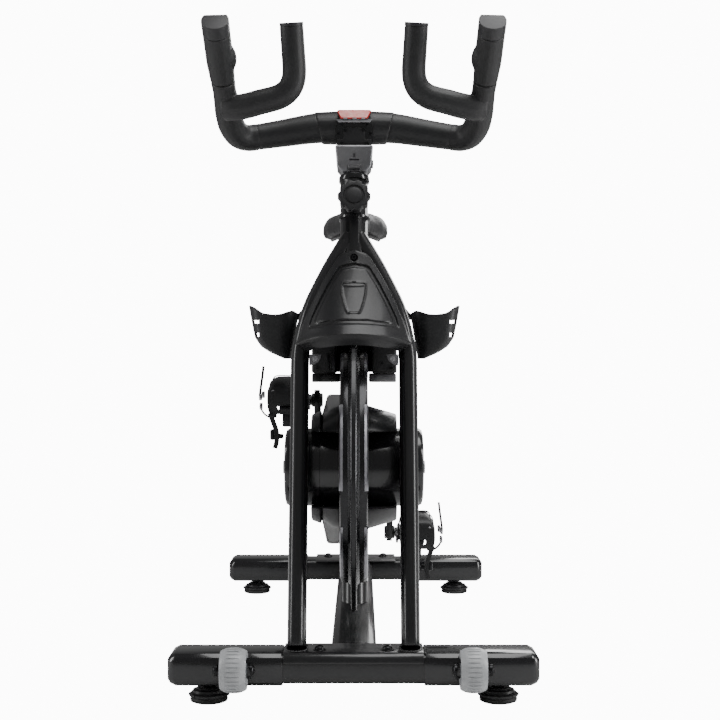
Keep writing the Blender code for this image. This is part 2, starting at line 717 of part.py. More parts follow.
def build_fork(frame):
    """Legs, head post with its sleeve and knob, and the mask; returns the fork's leaning frame."""
    fork = axis_empty("fork_lean", (0, 0, STABILIZER_TOP + GAP), LEAN, frame)
    for side in (1, -1):
        build_fork_leg(side, fork)
    post, sleeve = build_telescopic("head_post", fork, POST_BOTTOM, POST_TOP, "black_paint")
    crown = crown_mesh()
    bore = rod(POST_RADIUS - POST_WALL, "Z", POST_BOTTOM - 0.01, POST_TOP + 0.01)
    weld(post, fork, crown)
    cut(post, fork, bore)
    build_front_knob("handlebar_knob", HANDLEBAR_KNOB_ALONG, fork, post, sleeve)
    add_piece("front_mask", mask_mesh(), "gloss_plastic", fork)
    return fork


# ---------------------------------------------------------------- frame tubes
def post_point(along):
    """A place along the head post's axis, as (back, height)."""
    return along * sin(LEAN), STABILIZER_TOP + GAP + along * cos(LEAN)


def seat_point(along):
    """A place along the seat tube's axis, as (back, height)."""
    return BRACKET_BACK + along * sin(SEAT_TILT), BRACKET_HEIGHT + along * cos(SEAT_TILT)


def build_main_tube(frame, fork, seat):
    """The tube from the head post to the seat tube, notched to fit both."""
    start = Vector((0, *post_point(MAIN_TUBE_START)))
    end = Vector((0, *seat_point(MAIN_TUBE_END)))
    tube = add_piece("main_tube", sweep([start, end], circle(MAIN_TUBE_RADIUS, 18), (1, 0, 0)),
                     "black_paint", frame)
    fit = POST_RADIUS + GAP
    cut(tube, fork, rod(fit, "Z", POST_BOTTOM, POST_TOP + 0.02, sides=FINE_ROUND))
    cut(tube, seat, rod(fit, "Z", 0.05, SEAT_TUBE_LENGTH + 0.02, sides=FINE_ROUND))
    cut(tube, frame, rod(ROD_RADIUS + SLIDE_FIT, "Z", BRAKE_BOTTOM, RESISTANCE_KNOB_BOTTOM + 0.05,
                         (0, ROD_BACK), 16))


def build_seat_tube(frame, seat):
    """Seat tube, its sleeve and knob, the bottom bracket shell and the strut to the beam."""
    tube, sleeve = build_telescopic("seat_tube", seat, 0.0, SEAT_TUBE_LENGTH, "black_paint")
    shell_fit = BRACKET_SHELL_RADIUS + GAP
    cut(tube, seat, rod(shell_fit, "X", -0.05, 0.05, sides=FINE_ROUND))
    build_front_knob("seat_knob", SEAT_KNOB_ALONG, seat, tube, sleeve)
    right = BELT_X + BELT_WIDTH / 2 + 0.002
    bore = CRANK_AXLE_RADIUS + SLIDE_FIT
    profile = [(BRACKET_SHELL_RADIUS, right), (BRACKET_SHELL_RADIUS, BRACKET_SHELL_LEFT),
               (bore, BRACKET_SHELL_LEFT), (bore, right)]
    shell = turned(profile, "X", ring=True)
    add_piece("bottom_bracket_shell", shell, "black_paint", seat)
    drop = BRACKET_HEIGHT - BEAM_TOP - GAP
    section = circle(FRAME_TUBE_RADIUS)
    foot = [(a, b, -drop / cos(SEAT_TILT) + b * tan(SEAT_TILT)) for a, b in section]
    strut = add_piece("base_strut", loft([foot, [(a, b, 0.0) for a, b in section]]), "black_paint", seat)
    cut(strut, seat, rod(shell_fit, "X", -0.05, 0.05, sides=FINE_ROUND))


# ---------------------------------------------------------------- drive
def build_flywheel(frame):
    """Flywheel on its axle, which also carries the small belt pulley."""
    axis = axis_empty("flywheel_axis", (0, AXLE_BACK, AXLE_HEIGHT), parent=frame)
    bore = AXLE_RADIUS + GAP
    rim = FLYWHEEL_RIM_THICKNESS / 2
    side_profile = [(bore, FLYWHEEL_BODY_HALF), (FLYWHEEL_BODY_RADIUS - 0.030, FLYWHEEL_BODY_HALF),
                    (FLYWHEEL_BODY_RADIUS - 0.004, FLYWHEEL_BODY_HALF - 0.006),
                    (FLYWHEEL_BODY_RADIUS, rim + 0.004), (FLYWHEEL_BODY_RADIUS, rim),
                    (FLYWHEEL_RADIUS - 0.001, rim), (FLYWHEEL_RADIUS, rim - 0.001)]
    profile = side_profile + [(radius, -x) for radius, x in reversed(side_profile)]
    add_piece("flywheel", turned(profile, "X", FINE_ROUND, ring=True), "dark_steel", axis)
    belt_low = BELT_X - BELT_WIDTH / 2
    belt_high = BELT_X + BELT_WIDTH / 2
    end = HUB_NOSE_END - 0.012
    profile = [(AXLE_RADIUS, -end), (AXLE_RADIUS, belt_low), (FLYWHEEL_PULLEY_RADIUS, belt_low),
               (FLYWHEEL_PULLEY_RADIUS, belt_high), (0.016, belt_high),
               (0.016, -FLYWHEEL_BODY_HALF - GAP), (AXLE_RADIUS, -FLYWHEEL_BODY_HALF - GAP),
               (AXLE_RADIUS, end)]
    add_piece("flywheel_axle", turned(profile, "X"), "silver_metal", axis)


def hub_mesh(inner, inner_radius):
    """A round hub housing for the left, from its open rim outwards."""
    bore = AXLE_RADIUS + SLIDE_FIT
    floor = HUB_FLARE_END - HUB_WALL - 0.001
    lip = HUB_FLARE_END_RADIUS - HUB_WALL
    profile = [(bore, HUB_NOSE_END - 0.011), (bore, floor), (lip, floor), (inner_radius - HUB_WALL, inner),
               (inner_radius, inner), (HUB_FLARE_END_RADIUS, HUB_FLARE_END),
               (HUB_NOSE_RADIUS, HUB_FLARE_END + 0.002), (HUB_NOSE_RADIUS, HUB_NOSE_END - 0.007),
               (HUB_NOSE_RADIUS - 0.004, HUB_NOSE_END - 0.002), (HUB_NOSE_RADIUS - 0.014, HUB_NOSE_END)]
    return turned(profile, "X", 28, centre=(AXLE_BACK, AXLE_HEIGHT))


def hub_lug_mesh():
    """The lug that ties a hub housing to the back of its fork leg."""
    outline = []
    for rise in (-HUB_LUG_HALF, HUB_LUG_HALF):
        height = AXLE_HEIGHT + rise - STABILIZER_TOP - GAP
        back = height * tan(LEAN) + LEG_DEPTH / 2 / cos(LEAN) + 2 * GAP
        outline.append((back, AXLE_HEIGHT + rise))
    deep = AXLE_BACK - HUB_NOSE_RADIUS * 0.8
    outline += [(deep, AXLE_HEIGHT + HUB_LUG_HALF), (deep, AXLE_HEIGHT - HUB_LUG_HALF)]
    return prism(outline, "X", LEG_X - HUB_LUG_WIDTH / 2, LEG_X + HUB_LUG_WIDTH / 2)


def build_hub(frame):
    """A housing on each side of the flywheel; the right one starts outside the belt cover."""
    left_inner = FLYWHEEL_BODY_HALF + 0.0045
    right_inner = -BELT_COVER_FACE + GAP
    share = (right_inner - left_inner) / (HUB_FLARE_END - left_inner)
    right_radius = HUB_FLARE_RADIUS + (HUB_FLARE_END_RADIUS - HUB_FLARE_RADIUS) * share
    for side, inner, radius in ((1, left_inner, HUB_FLARE_RADIUS), (-1, right_inner, right_radius)):
        name = "hub_housing_" + side_name(side)
        housing = add_piece(name, on_side(hub_mesh(inner, radius), side), "gloss_plastic", frame)
        weld(housing, frame, on_side(hub_lug_mesh(), side))


def build_belt(frame):
    """Belt between the pulleys, and the cover over it on the rider's right."""
    low = BELT_X - BELT_WIDTH / 2 + 0.001
    high = BELT_X + BELT_WIDTH / 2 - 0.001
    loops = []
    for x, offset in ((low, GAP), (high, GAP), (high, BELT_THICKNESS), (low, BELT_THICKNESS)):
        outline = belt_loop(FLYWHEEL_PULLEY_RADIUS + offset, CRANK_PULLEY_RADIUS + offset)
        loops.append([(x, a, b) for a, b in outline])
    add_piece("drive_belt", loft(loops, ring=True), "rubber", frame)
    loops = []
    wall = BELT_COVER_WALL
    for x, inset in ((BELT_COVER_FACE + wall, wall), (BELT_COVER_RIM, wall), (BELT_COVER_RIM, 0),
                     (BELT_COVER_FACE + 0.006, 0), (BELT_COVER_FACE + 0.001, 0.004),
                     (BELT_COVER_FACE, 0.007)):
        outline = belt_loop(HUB_FLARE_RADIUS - inset, BELT_COVER_RADIUS - inset)
        loops.append([(x, a, b) for a, b in outline])
    cover = add_piece("belt_cover", loft(loops), "gloss_plastic", frame)
    holes = ((AXLE_BACK, AXLE_HEIGHT, AXLE_RADIUS), (BRACKET_BACK, BRACKET_HEIGHT, CRANK_AXLE_RADIUS))
    for back, height, radius in holes:
        cut(cover, frame, rod(radius + 0.001, "X", BELT_COVER_FACE - 0.01, BELT_COVER_FACE + 0.01,
                              (back, height)))


def crank_arm_mesh():
    """One crank arm with its pedal spindle, on the left and pointing down."""
    inner = CRANK_INNER
    outer = CRANK_INNER + CRANK_THICKNESS
    length = CRANK_LENGTH
    outline = arc((0, 0), CRANK_HUB_RADIUS, 0, 180, 8)
    outline += arc((0, -length), CRANK_END_RADIUS, 180, 360, 8)
    mesh = prism(outline, "X", inner, outer)
    bmesh.ops.bevel(mesh, geom=[e for e in mesh.edges if abs(e.verts[0].co.x - e.verts[1].co.x) < 1e-6],
                    offset=0.003, segments=2, profile=0.5, affect="EDGES")
    return mesh


def build_crank(frame):
    """Axle, belt pulley and both arms, all turning about the bottom bracket."""
    axis = axis_empty("crank_axis", (0, BRACKET_BACK, BRACKET_HEIGHT), -radians(CRANK_ANGLE), frame)
    end = CRANK_INNER + CRANK_THICKNESS - 0.003
    add_piece("crank_axle", rod(CRANK_AXLE_RADIUS, "X", -end, end), "silver_metal", axis)
    low = BELT_X - BELT_WIDTH / 2
    high = BELT_X + BELT_WIDTH / 2
    bore = CRANK_AXLE_RADIUS + GAP
    hub = 0.030
    dish = 0.005
    profile = [(bore, low), (hub, low), (hub + dish, low + dish), (CRANK_PULLEY_RADIUS - 0.010, low + dish),
               (CRANK_PULLEY_RADIUS, low), (CRANK_PULLEY_RADIUS, high), (hub, high), (bore, high)]
    add_piece("crank_pulley", turned(profile, "X", 32, ring=True), "satin_plastic", axis)
    for side in (1, -1):
        arm = crank_arm_mesh()
        bmesh.ops.transform(arm, matrix=Matrix.Scale(side, 4, (0, 0, 1)), verts=arm.verts)
        piece = add_piece("crank_arm_" + side_name(side), on_side(arm, side), "dark_steel", axis)
        spindle_start = CRANK_INNER + 0.005
        spindle_end = PEDAL_INNER + PEDAL_WIDTH - 0.006
        spindle = rod(PEDAL_SPINDLE_RADIUS, "X", spindle_start, spindle_end, (0, -side * CRANK_LENGTH), 16)
        weld(piece, axis, on_side(spindle, side))
        cut(piece, axis, rod(bore, "X", -0.1, 0.1))


def build_pedal(side, frame):
    """A pedal and its toe cage, turning on the crank's spindle."""
    tilt = radians(CRANK_ANGLE)
    back = BRACKET_BACK + side * CRANK_LENGTH * sin(tilt)
    height = BRACKET_HEIGHT - side * CRANK_LENGTH * cos(tilt)
    axis = axis_empty("pedal_axis_" + side_name(side), (0, back, height), parent=frame)
    outer = PEDAL_INNER + PEDAL_WIDTH
    body = block((PEDAL_INNER, -PEDAL_LENGTH / 2, -PEDAL_THICKNESS / 2),
                 (outer, PEDAL_LENGTH / 2, PEDAL_THICKNESS / 2), 0.004)
    piece = add_piece("pedal_" + side_name(side), on_side(body, side), "satin_plastic", axis)
    bore = rod(PEDAL_SPINDLE_RADIUS + SLIDE_FIT, "X", PEDAL_INNER - 0.01, outer - 0.004, sides=16)
    cut(piece, axis, on_side(bore, side))
    top = PEDAL_THICKNESS / 2 + GAP
    ridge = [(-0.005, top), (-0.060, top), (-TOE_CAGE_REACH * 0.93, top + 0.003),
             (-TOE_CAGE_REACH, TOE_CAGE_HEIGHT * 0.45), (-TOE_CAGE_REACH * 0.95, TOE_CAGE_HEIGHT * 0.72),
             (-TOE_CAGE_REACH * 0.78, TOE_CAGE_HEIGHT * 0.9), (-0.040, TOE_CAGE_HEIGHT),
             (-0.008, TOE_CAGE_HEIGHT + 0.002)]
    cage = add_piece("toe_cage_" + side_name(side), on_side(sheet_mesh(ridge, PEDAL_INNER + 0.003,
                     outer - 0.003, TOE_CAGE_SHEET), side), "satin_plastic", axis)
    window = block((PEDAL_INNER + 0.018, -TOE_CAGE_REACH - 0.01, top + 0.005),
                   (outer - 0.018, -TOE_CAGE_REACH * 0.9, TOE_CAGE_HEIGHT * 0.62))
    cut(cage, axis, on_side(window, side))


def sheet_mesh(line, low, high, thickness):
    """A bent sheet: a line of (back, height) points, thickened inwards and extruded across."""
    points = [Vector(p) for p in line]
    inner = []
    for i, point in enumerate(points):
        along = (points[min(i + 1, len(points) - 1)] - points[max(i - 1, 0)]).normalized()
        inner.append(point + Vector((along.y, -along.x)) * thickness)
    outline = [tuple(p) for p in points] + [tuple(p) for p in reversed(inner)]
    return prism(outline, "X", low, high)


# ---------------------------------------------------------------- resistance
def build_brake(frame):
    """Brake housing over the flywheel's rim, magnet yoke, push rod and resistance knob."""
    roof = BRAKE_BOTTOM + BRAKE_HEIGHT
    half = BRAKE_WIDTH / 2
    back = BRAKE_FRONT + BRAKE_LENGTH
    housing = add_piece("brake_housing", block((-half, BRAKE_FRONT, BRAKE_BOTTOM), (half, back, roof), 0.006),
                        "satin_plastic", frame)
    slot = block((-BRAKE_SLOT / 2, BRAKE_FRONT - 0.02, BRAKE_BOTTOM - 0.02),
                 (BRAKE_SLOT / 2, back + 0.02, roof - BRAKE_ROOF))
    cut(housing, frame, slot)
    cut(housing, frame, rod(ROD_RADIUS + SLIDE_FIT, "Z", roof - BRAKE_ROOF - 0.01, roof + 0.01,
                            (0, ROD_BACK), 16))
    middle_radius = (YOKE_INNER_RADIUS + YOKE_OUTER_RADIUS) / 2
    pivot = (AXLE_BACK + middle_radius * sin(radians(YOKE_END)),
             AXLE_HEIGHT + middle_radius * cos(radians(YOKE_END)))
    axis = axis_empty("magnet_yoke_axis", (0, *pivot), parent=frame)
    centre = (AXLE_BACK - pivot[0], AXLE_HEIGHT - pivot[1])
    outline = arc(centre, YOKE_OUTER_RADIUS, 90 - YOKE_START, 90 - YOKE_END, 8)
    outline += arc(centre, YOKE_INNER_RADIUS, 90 - YOKE_END, 90 - YOKE_START, 8)
    yoke = add_piece("magnet_yoke", prism(outline, "X", -YOKE_HALF, YOKE_HALF), "dark_steel", axis)
    channel = rod(YOKE_OUTER_RADIUS - 0.006, "X", -YOKE_SLOT_HALF, YOKE_SLOT_HALF, centre, FINE_ROUND)
    cut(yoke, axis, channel)
    axis = axis_empty("resistance_axis", (0, ROD_BACK, RESISTANCE_KNOB_BOTTOM), parent=frame)
    add_piece("brake_rod", rod(ROD_RADIUS, "Z", ROD_BOTTOM - RESISTANCE_KNOB_BOTTOM, -GAP), "silver_metal", axis)
    top = RESISTANCE_KNOB_HEIGHT
    radius = RESISTANCE_KNOB_RADIUS
    profile = [(radius - 0.004, 0), (radius - 0.001, 0.002), (radius, top - 0.006),
               (radius - 0.003, top - 0.001), (radius - 0.007, top)]
    add_piece("resistance_knob", turned(profile, "Z"), "gloss_plastic", axis)


# ---------------------------------------------------------------- bottle holders
def holder_loop(share, inset):
    """The left holder's section: share runs from its bottom, 0, to its rim, 1."""
    inner = HOLDER_INNER_X + (HOLDER_TOP_INNER_X - HOLDER_INNER_X) * share + inset
    outer = HOLDER_OUTER_X + (HOLDER_TOP_OUTER_X - HOLDER_OUTER_X) * share - inset
    length = HOLDER_LENGTH * (0.8 + 0.2 * share) - 2 * inset
    outline = rounded_rectangle(outer - inner, length, 0.016 - inset)
    middle = ((inner + outer) / 2, HOLDER_FRONT + HOLDER_LENGTH / 2)
    return [(middle[0] + a, middle[1] + b) for a, b in outline]


def build_holders(frame):
    """A cup on each side of the main tube, with the arm that carries it."""
    middle = HOLDER_FRONT + HOLDER_LENGTH / 2
    start = Vector((0, *post_point(MAIN_TUBE_START)))
    end = Vector((0, *seat_point(MAIN_TUBE_END)))
    tube_height = start.z + (end.z - start.z) * (middle - start.y) / (end.y - start.y)
    for side in (1, -1):
        loops = []
        for share, inset in ((0.04, HOLDER_WALL), (1.0, HOLDER_WALL), (1.0, 0), (0.55, 0), (0.0, 0)):
            height = HOLDER_BOTTOM + HOLDER_HEIGHT * share
            loops.append([(a, b, height) for a, b in holder_loop(share, inset)])
        name = "bottle_holder_" + side_name(side)
        holder = add_piece(name, on_side(loft(loops), side), "satin_plastic", frame)
        root = MAIN_TUBE_RADIUS + GAP
        tip = HOLDER_TOP_INNER_X + HOLDER_WALL * 0.7
        rim = HOLDER_BOTTOM + HOLDER_HEIGHT
        outline = [(root, tube_height - 0.014), (tip, rim - 0.020), (tip, rim - 0.002),
                   (root, tube_height + 0.012)]
        arm = prism(outline, "Y", middle - 0.013, middle + 0.013)
        weld(holder, frame, on_side(arm, side))


# ---------------------------------------------------------------- handlebar
def build_handlebar(frame, fork):
    """Slider, stem, clamp, bars with their grips, front plate and console."""
    outline = rounded_rectangle(SLIDER_WIDTH, SLIDER_DEPTH, SLIDER_CORNER, 2)
    rise = STEM_BOTTOM - GAP - STABILIZER_TOP - GAP
    loops = [[(a, b, SLIDER_BOTTOM) for a, b in outline],
             [(a, b, level_with(rise, b)) for a, b in outline]]
    add_piece("handlebar_slider", loft(loops), "satin_plastic", fork)
    half = STEM_HALF_WIDTH
    top = STEM_BOTTOM + STEM_HEIGHT
    chamfer = STEM_CHAMFER
    outline = [(-half + chamfer, STEM_BOTTOM), (half - chamfer, STEM_BOTTOM), (half, STEM_BOTTOM + chamfer),
               (half, top), (-half, top), (-half, STEM_BOTTOM + chamfer)]
    add_piece("stem_housing", prism(outline, "Y", STEM_FRONT, STEM_FRONT + STEM_LENGTH), "grey_metal", frame)
    clamp = block((-CLAMP_HALF_WIDTH, BAR_BACK - CLAMP_DEPTH / 2, top + GAP),
                  (CLAMP_HALF_WIDTH, BAR_BACK + CLAMP_DEPTH / 2, BAR_HEIGHT + CLAMP_DEPTH / 2), 0.009)
    piece = add_piece("bar_clamp", clamp, "satin_plastic", frame)
    cut(piece, frame, rod(BAR_RADIUS + 2 * GAP, "X", -0.1, 0.1, (BAR_BACK, BAR_HEIGHT)))
    add_piece("main_bar", sweep(smooth_path([
        (-BAR_CENTRE_HALF, BAR_BACK - 0.006, BAR_HEIGHT - BAR_DROP),
        (-0.120, BAR_BACK, BAR_HEIGHT - BAR_DROP / 2), (-0.082, BAR_BACK, BAR_HEIGHT),
        (-0.062, BAR_BACK, BAR_HEIGHT), (0.062, BAR_BACK, BAR_HEIGHT),
        (0.082, BAR_BACK, BAR_HEIGHT), (0.120, BAR_BACK, BAR_HEIGHT - BAR_DROP / 2),
        (BAR_CENTRE_HALF, BAR_BACK - 0.006, BAR_HEIGHT - BAR_DROP)],
        2), circle(BAR_RADIUS, BAR_ROUND), (0, 1, 0), (1, 0, 0), (1, 0, 0)), "soft_grip", frame)
    for side in (1, -1):
        build_horn(side, frame)
        build_inner_loop(side, frame)
    front = BAR_BACK - CLAMP_DEPTH / 2 - GAP
    build_front_plate(front, frame)
    low = PLATE_BOTTOM + PLATE_HEIGHT + GAP
    add_piece("console", block((-CONSOLE_HALF_WIDTH, front - CONSOLE_DEPTH, low),
                               (CONSOLE_HALF_WIDTH, front, low + CONSOLE_HEIGHT), 0.003),
              "gloss_plastic", frame)


def build_horn(side, frame):
    """Outer grip: on from the middle bar, round a bend, then up and forwards to its tip."""
    route = [(BAR_CENTRE_HALF + GAP, BAR_BACK - 0.006, BAR_HEIGHT - BAR_DROP),
             (HORN_X - 0.0225, BAR_BACK - 0.018, BAR_HEIGHT - BAR_DROP - 0.0015),
             (HORN_X - 0.0075, BAR_BACK - 0.044, BAR_HEIGHT - 0.003),
             (HORN_X - 0.0050, BAR_BACK - 0.080, BAR_HEIGHT + 0.029),
             (HORN_X, (BAR_BACK + HORN_TIP_BACK) / 2 - 0.028, (BAR_HEIGHT + HORN_TIP_HEIGHT) / 2 + 0.014),
             (HORN_X + 0.0015, HORN_TIP_BACK, HORN_TIP_HEIGHT)]
    mesh = sweep(smooth_path(route, 3), circle(BAR_RADIUS, BAR_ROUND), (0, 1, 0), first=(1, 0, 0))
    add_piece("horn_" + side_name(side), on_side(mesh, side), "soft_grip", frame)


def build_inner_loop(side, frame):
    """Inner grip: in from the horn, round a tight corner, then upright to its tip."""
    start_x = HORN_X - BAR_RADIUS - 0.012
    route = [(start_x, LOOP_BACK + 0.006, BAR_HEIGHT + 0.019),
             (0.150, LOOP_BACK, BAR_HEIGHT + 0.0255),
             (LOOP_CORNER_X + 0.022, LOOP_BACK - 0.002, BAR_HEIGHT + 0.035),
             (LOOP_CORNER_X + 0.004, LOOP_BACK - 0.006, BAR_HEIGHT + 0.052),
             (LOOP_CORNER_X, LOOP_BACK - 0.014, BAR_HEIGHT + 0.076),
             (LOOP_TIP_X, LOOP_BACK - 0.030, LOOP_TIP_HEIGHT)]
    mesh = sweep(smooth_path(route, 3), circle(LOOP_RADIUS, BAR_ROUND), (0, 1, 0), first=(-1, 0, 0))
    add_piece("inner_loop_" + side_name(side), on_side(mesh, side), "soft_grip", frame)


def build_front_plate(back, frame):
    """Eight-sided plate on the front of the clamp, above the stem."""
    half = PLATE_HALF_WIDTH
    corner = 0.008
    low = PLATE_BOTTOM
    high = PLATE_BOTTOM + PLATE_HEIGHT
    outline = [(-half + corner, low), (half - corner, low), (half, low + corner), (half, high - corner),
               (half - corner, high), (-half + corner, high), (-half, high - corner), (-half, low + corner)]
    add_piece("bar_front_plate", prism(outline, "Y", back - FRONT_PLATE_THICKNESS, back), "dark_steel", frame)


# ---------------------------------------------------------------- seat
def saddle_loop(share):
    """One section across the saddle; share runs from its nose, 0, to its back, 1."""
    spread = max(0.0, min(1.0, (share - 0.30) / 0.45))
    spread = spread * spread * (3 - 2 * spread)
    width = SADDLE_NOSE_WIDTH + (SADDLE_WIDTH - SADDLE_NOSE_WIDTH) * spread
    end = min(share / 0.10, (1 - share) / 0.12, 1.0)
    fullness = 0.55 + 0.45 * (1 - (1 - end) ** 2) ** 0.5
    width *= fullness
    height = SADDLE_HEIGHT * (0.62 + 0.38 * spread) * fullness
    radius = min(width, height) * 0.42
    top = SADDLE_BOTTOM + SADDLE_HEIGHT - 0.010 * (1 - spread)
    outline = rounded_rectangle(width, height, radius, 3)
    return [(a, SADDLE_FRONT + SADDLE_LENGTH * share, top - height / 2 + b) for a, b in outline]


def build_seat(frame, seat):
    """Seat post with its rail, the carriage that slides on it, the saddle and its knob."""
    outline = rounded_rectangle(SLIDER_WIDTH, SLIDER_DEPTH, SLIDER_CORNER, 2)
    rise = RAIL_BOTTOM + RAIL_HEIGHT / 2 - BRACKET_HEIGHT
    loops = [[(a, b, SEAT_POST_BOTTOM) for a, b in outline],
             [(a, b, rise / cos(SEAT_TILT) + b * tan(SEAT_TILT)) for a, b in outline]]
    post = add_piece("seat_post", loft(loops), "satin_plastic", seat)
    half = RAIL_WIDTH / 2
    rail_top = RAIL_BOTTOM + RAIL_HEIGHT
    weld(post, frame, block((-half, RAIL_FRONT, RAIL_BOTTOM), (half, RAIL_BACK, rail_top), 0.003))
    knob_back = CARRIAGE_CENTRE
    reach = SADDLE_TRAVEL + KNOB_STUD_RADIUS + 0.001
    cut(post, frame, block((-KNOB_STUD_RADIUS - SLIDE_FIT, knob_back - reach, RAIL_BOTTOM - 0.01),
                           (KNOB_STUD_RADIUS + SLIDE_FIT, knob_back + reach, rail_top + 0.01)))
    axis = axis_empty("saddle_axis", (0, CARRIAGE_CENTRE, rail_top + SLIDE_FIT), parent=frame)
    height = CARRIAGE_HEIGHT
    carriage = add_piece("saddle_carriage", block((-half, -CARRIAGE_LENGTH / 2, 0),
                                                  (half, CARRIAGE_LENGTH / 2, height), 0.003),
                         "dark_steel", axis)
    pillar_top = saddle_underside(CARRIAGE_CENTRE + 2 * PILLAR_RADIUS) - GAP - rail_top - SLIDE_FIT
    weld(carriage, axis, rod(PILLAR_RADIUS, "Z", height / 2, pillar_top))
    knob = axis_empty("saddle_knob_axis", (0, knob_back, rail_top), parent=frame)
    add_piece("saddle_knob", knob_mesh("Z", 0.0, -1), "gloss_plastic", knob)
    shares = [0.0, 0.04, 0.1, 0.2, 0.3, 0.4, 0.5, 0.6, 0.7, 0.8, 0.88, 0.94, 0.98, 1.0]
    add_piece("saddle", loft([saddle_loop(share) for share in shares]), "vinyl", frame)


def saddle_underside(back):
    """Height of the saddle's underside at a distance behind the front stabilizer."""
    return min(point[2] for point in saddle_loop((back - SADDLE_FRONT) / SADDLE_LENGTH))


# ---------------------------------------------------------------- the whole bike
def build():
    """Clear the scene and model every piece."""
    for old in list(bpy.data.objects):
        bpy.data.objects.remove(old, do_unlink=True)
    frame = axis_empty("front_line", (0, FRONT_LINE_Y, 0))
    seat = axis_empty("seat_lean", (0, BRACKET_BACK, BRACKET_HEIGHT), SEAT_TILT, frame)
    build_base(frame)
    build_feet(frame)
    build_wheels(frame)
    fork = build_fork(frame)
    build_main_tube(frame, fork, seat)
    build_seat_tube(frame, seat)
    build_flywheel(frame)
    build_hub(frame)
    build_belt(frame)
    build_crank(frame)
    for side in (1, -1):
        build_pedal(side, frame)
    build_brake(frame)
    build_holders(frame)
    build_handlebar(frame, fork)
    build_seat(frame, seat)


build()
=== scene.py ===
"""Looks of an indoor-cycling exercise bike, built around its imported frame.

The bike faces -Y, the rider's left is +X and +Z is up. Every length is in metres. Places come from
the frame's nodes, so the pieces here follow it; sizes of the surface detail are fields of the class
that makes it.
"""
import json
import logging
from dataclasses import dataclass, field
from enum import Enum
from math import atan2, cos, log, pi, radians, sin, tan
from typing import Callable, Iterable, Sequence

import bpy
from mathutils import Matrix, Vector

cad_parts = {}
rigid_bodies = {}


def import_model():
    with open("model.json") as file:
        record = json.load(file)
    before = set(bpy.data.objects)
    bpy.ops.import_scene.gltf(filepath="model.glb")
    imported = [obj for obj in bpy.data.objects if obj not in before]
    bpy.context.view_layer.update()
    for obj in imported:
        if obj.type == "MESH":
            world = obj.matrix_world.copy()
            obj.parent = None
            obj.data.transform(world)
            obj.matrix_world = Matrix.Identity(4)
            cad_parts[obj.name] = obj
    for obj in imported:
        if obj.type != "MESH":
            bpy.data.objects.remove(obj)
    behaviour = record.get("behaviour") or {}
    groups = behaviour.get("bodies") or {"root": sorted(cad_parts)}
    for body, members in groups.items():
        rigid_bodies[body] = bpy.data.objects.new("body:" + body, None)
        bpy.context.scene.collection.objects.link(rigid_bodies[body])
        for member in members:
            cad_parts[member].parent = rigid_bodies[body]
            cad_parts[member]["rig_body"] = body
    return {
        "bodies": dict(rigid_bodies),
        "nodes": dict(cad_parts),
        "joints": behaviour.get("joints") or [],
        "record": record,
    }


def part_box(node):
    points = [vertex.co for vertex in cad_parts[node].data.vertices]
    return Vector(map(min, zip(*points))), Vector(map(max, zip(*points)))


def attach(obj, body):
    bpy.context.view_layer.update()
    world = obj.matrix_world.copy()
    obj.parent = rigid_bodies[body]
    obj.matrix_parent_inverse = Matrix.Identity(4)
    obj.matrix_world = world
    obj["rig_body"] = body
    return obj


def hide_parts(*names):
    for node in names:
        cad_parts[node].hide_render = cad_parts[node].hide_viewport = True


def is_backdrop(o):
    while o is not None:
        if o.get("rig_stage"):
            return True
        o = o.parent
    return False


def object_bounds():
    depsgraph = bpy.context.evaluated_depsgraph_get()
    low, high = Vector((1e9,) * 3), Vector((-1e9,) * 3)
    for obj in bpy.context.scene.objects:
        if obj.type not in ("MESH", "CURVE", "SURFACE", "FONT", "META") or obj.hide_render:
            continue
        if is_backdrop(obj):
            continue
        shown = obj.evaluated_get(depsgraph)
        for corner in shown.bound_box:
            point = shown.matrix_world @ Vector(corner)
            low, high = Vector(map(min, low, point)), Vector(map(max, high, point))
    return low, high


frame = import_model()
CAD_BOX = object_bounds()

LOG = logging.getLogger("bike")
Point = tuple[float, float, float]
Flat = tuple[float, float]


class Side(Enum):
    """The rider's side of the bike; the value is the sign of X."""

    LEFT = 1
    RIGHT = -1

    @property
    def word(self) -> str:
        """The side as node names spell it."""
        return self.name.lower()

    def span(self, near: float, far: float) -> Flat:
        """Two X values of this side in rising order.

        Args:
            near: Distance from the middle to the nearer one.
            far: Distance to the farther one.

        Returns:
            The two values.
        """
        low, high = sorted((self.value * near, self.value * far))
        return low, high


class Axis(Enum):
    """An axis to turn or extrude along; the value is its unit vector."""

    X = (1.0, 0.0, 0.0)
    Y = (0.0, 1.0, 0.0)
    Z = (0.0, 0.0, 1.0)


def across(axis: Axis, along: float, a: float, b: float) -> Point:
    """A point at a distance along an axis and at (a, b) across it.

    Args:
        axis: The axis.
        along: Distance along it.
        a: Distance along the first of the other two axes.
        b: Distance along the second.

    Returns:
        The point.
    """
    return {Axis.X: (along, a, b), Axis.Y: (a, along, b), Axis.Z: (a, b, along)}[axis]


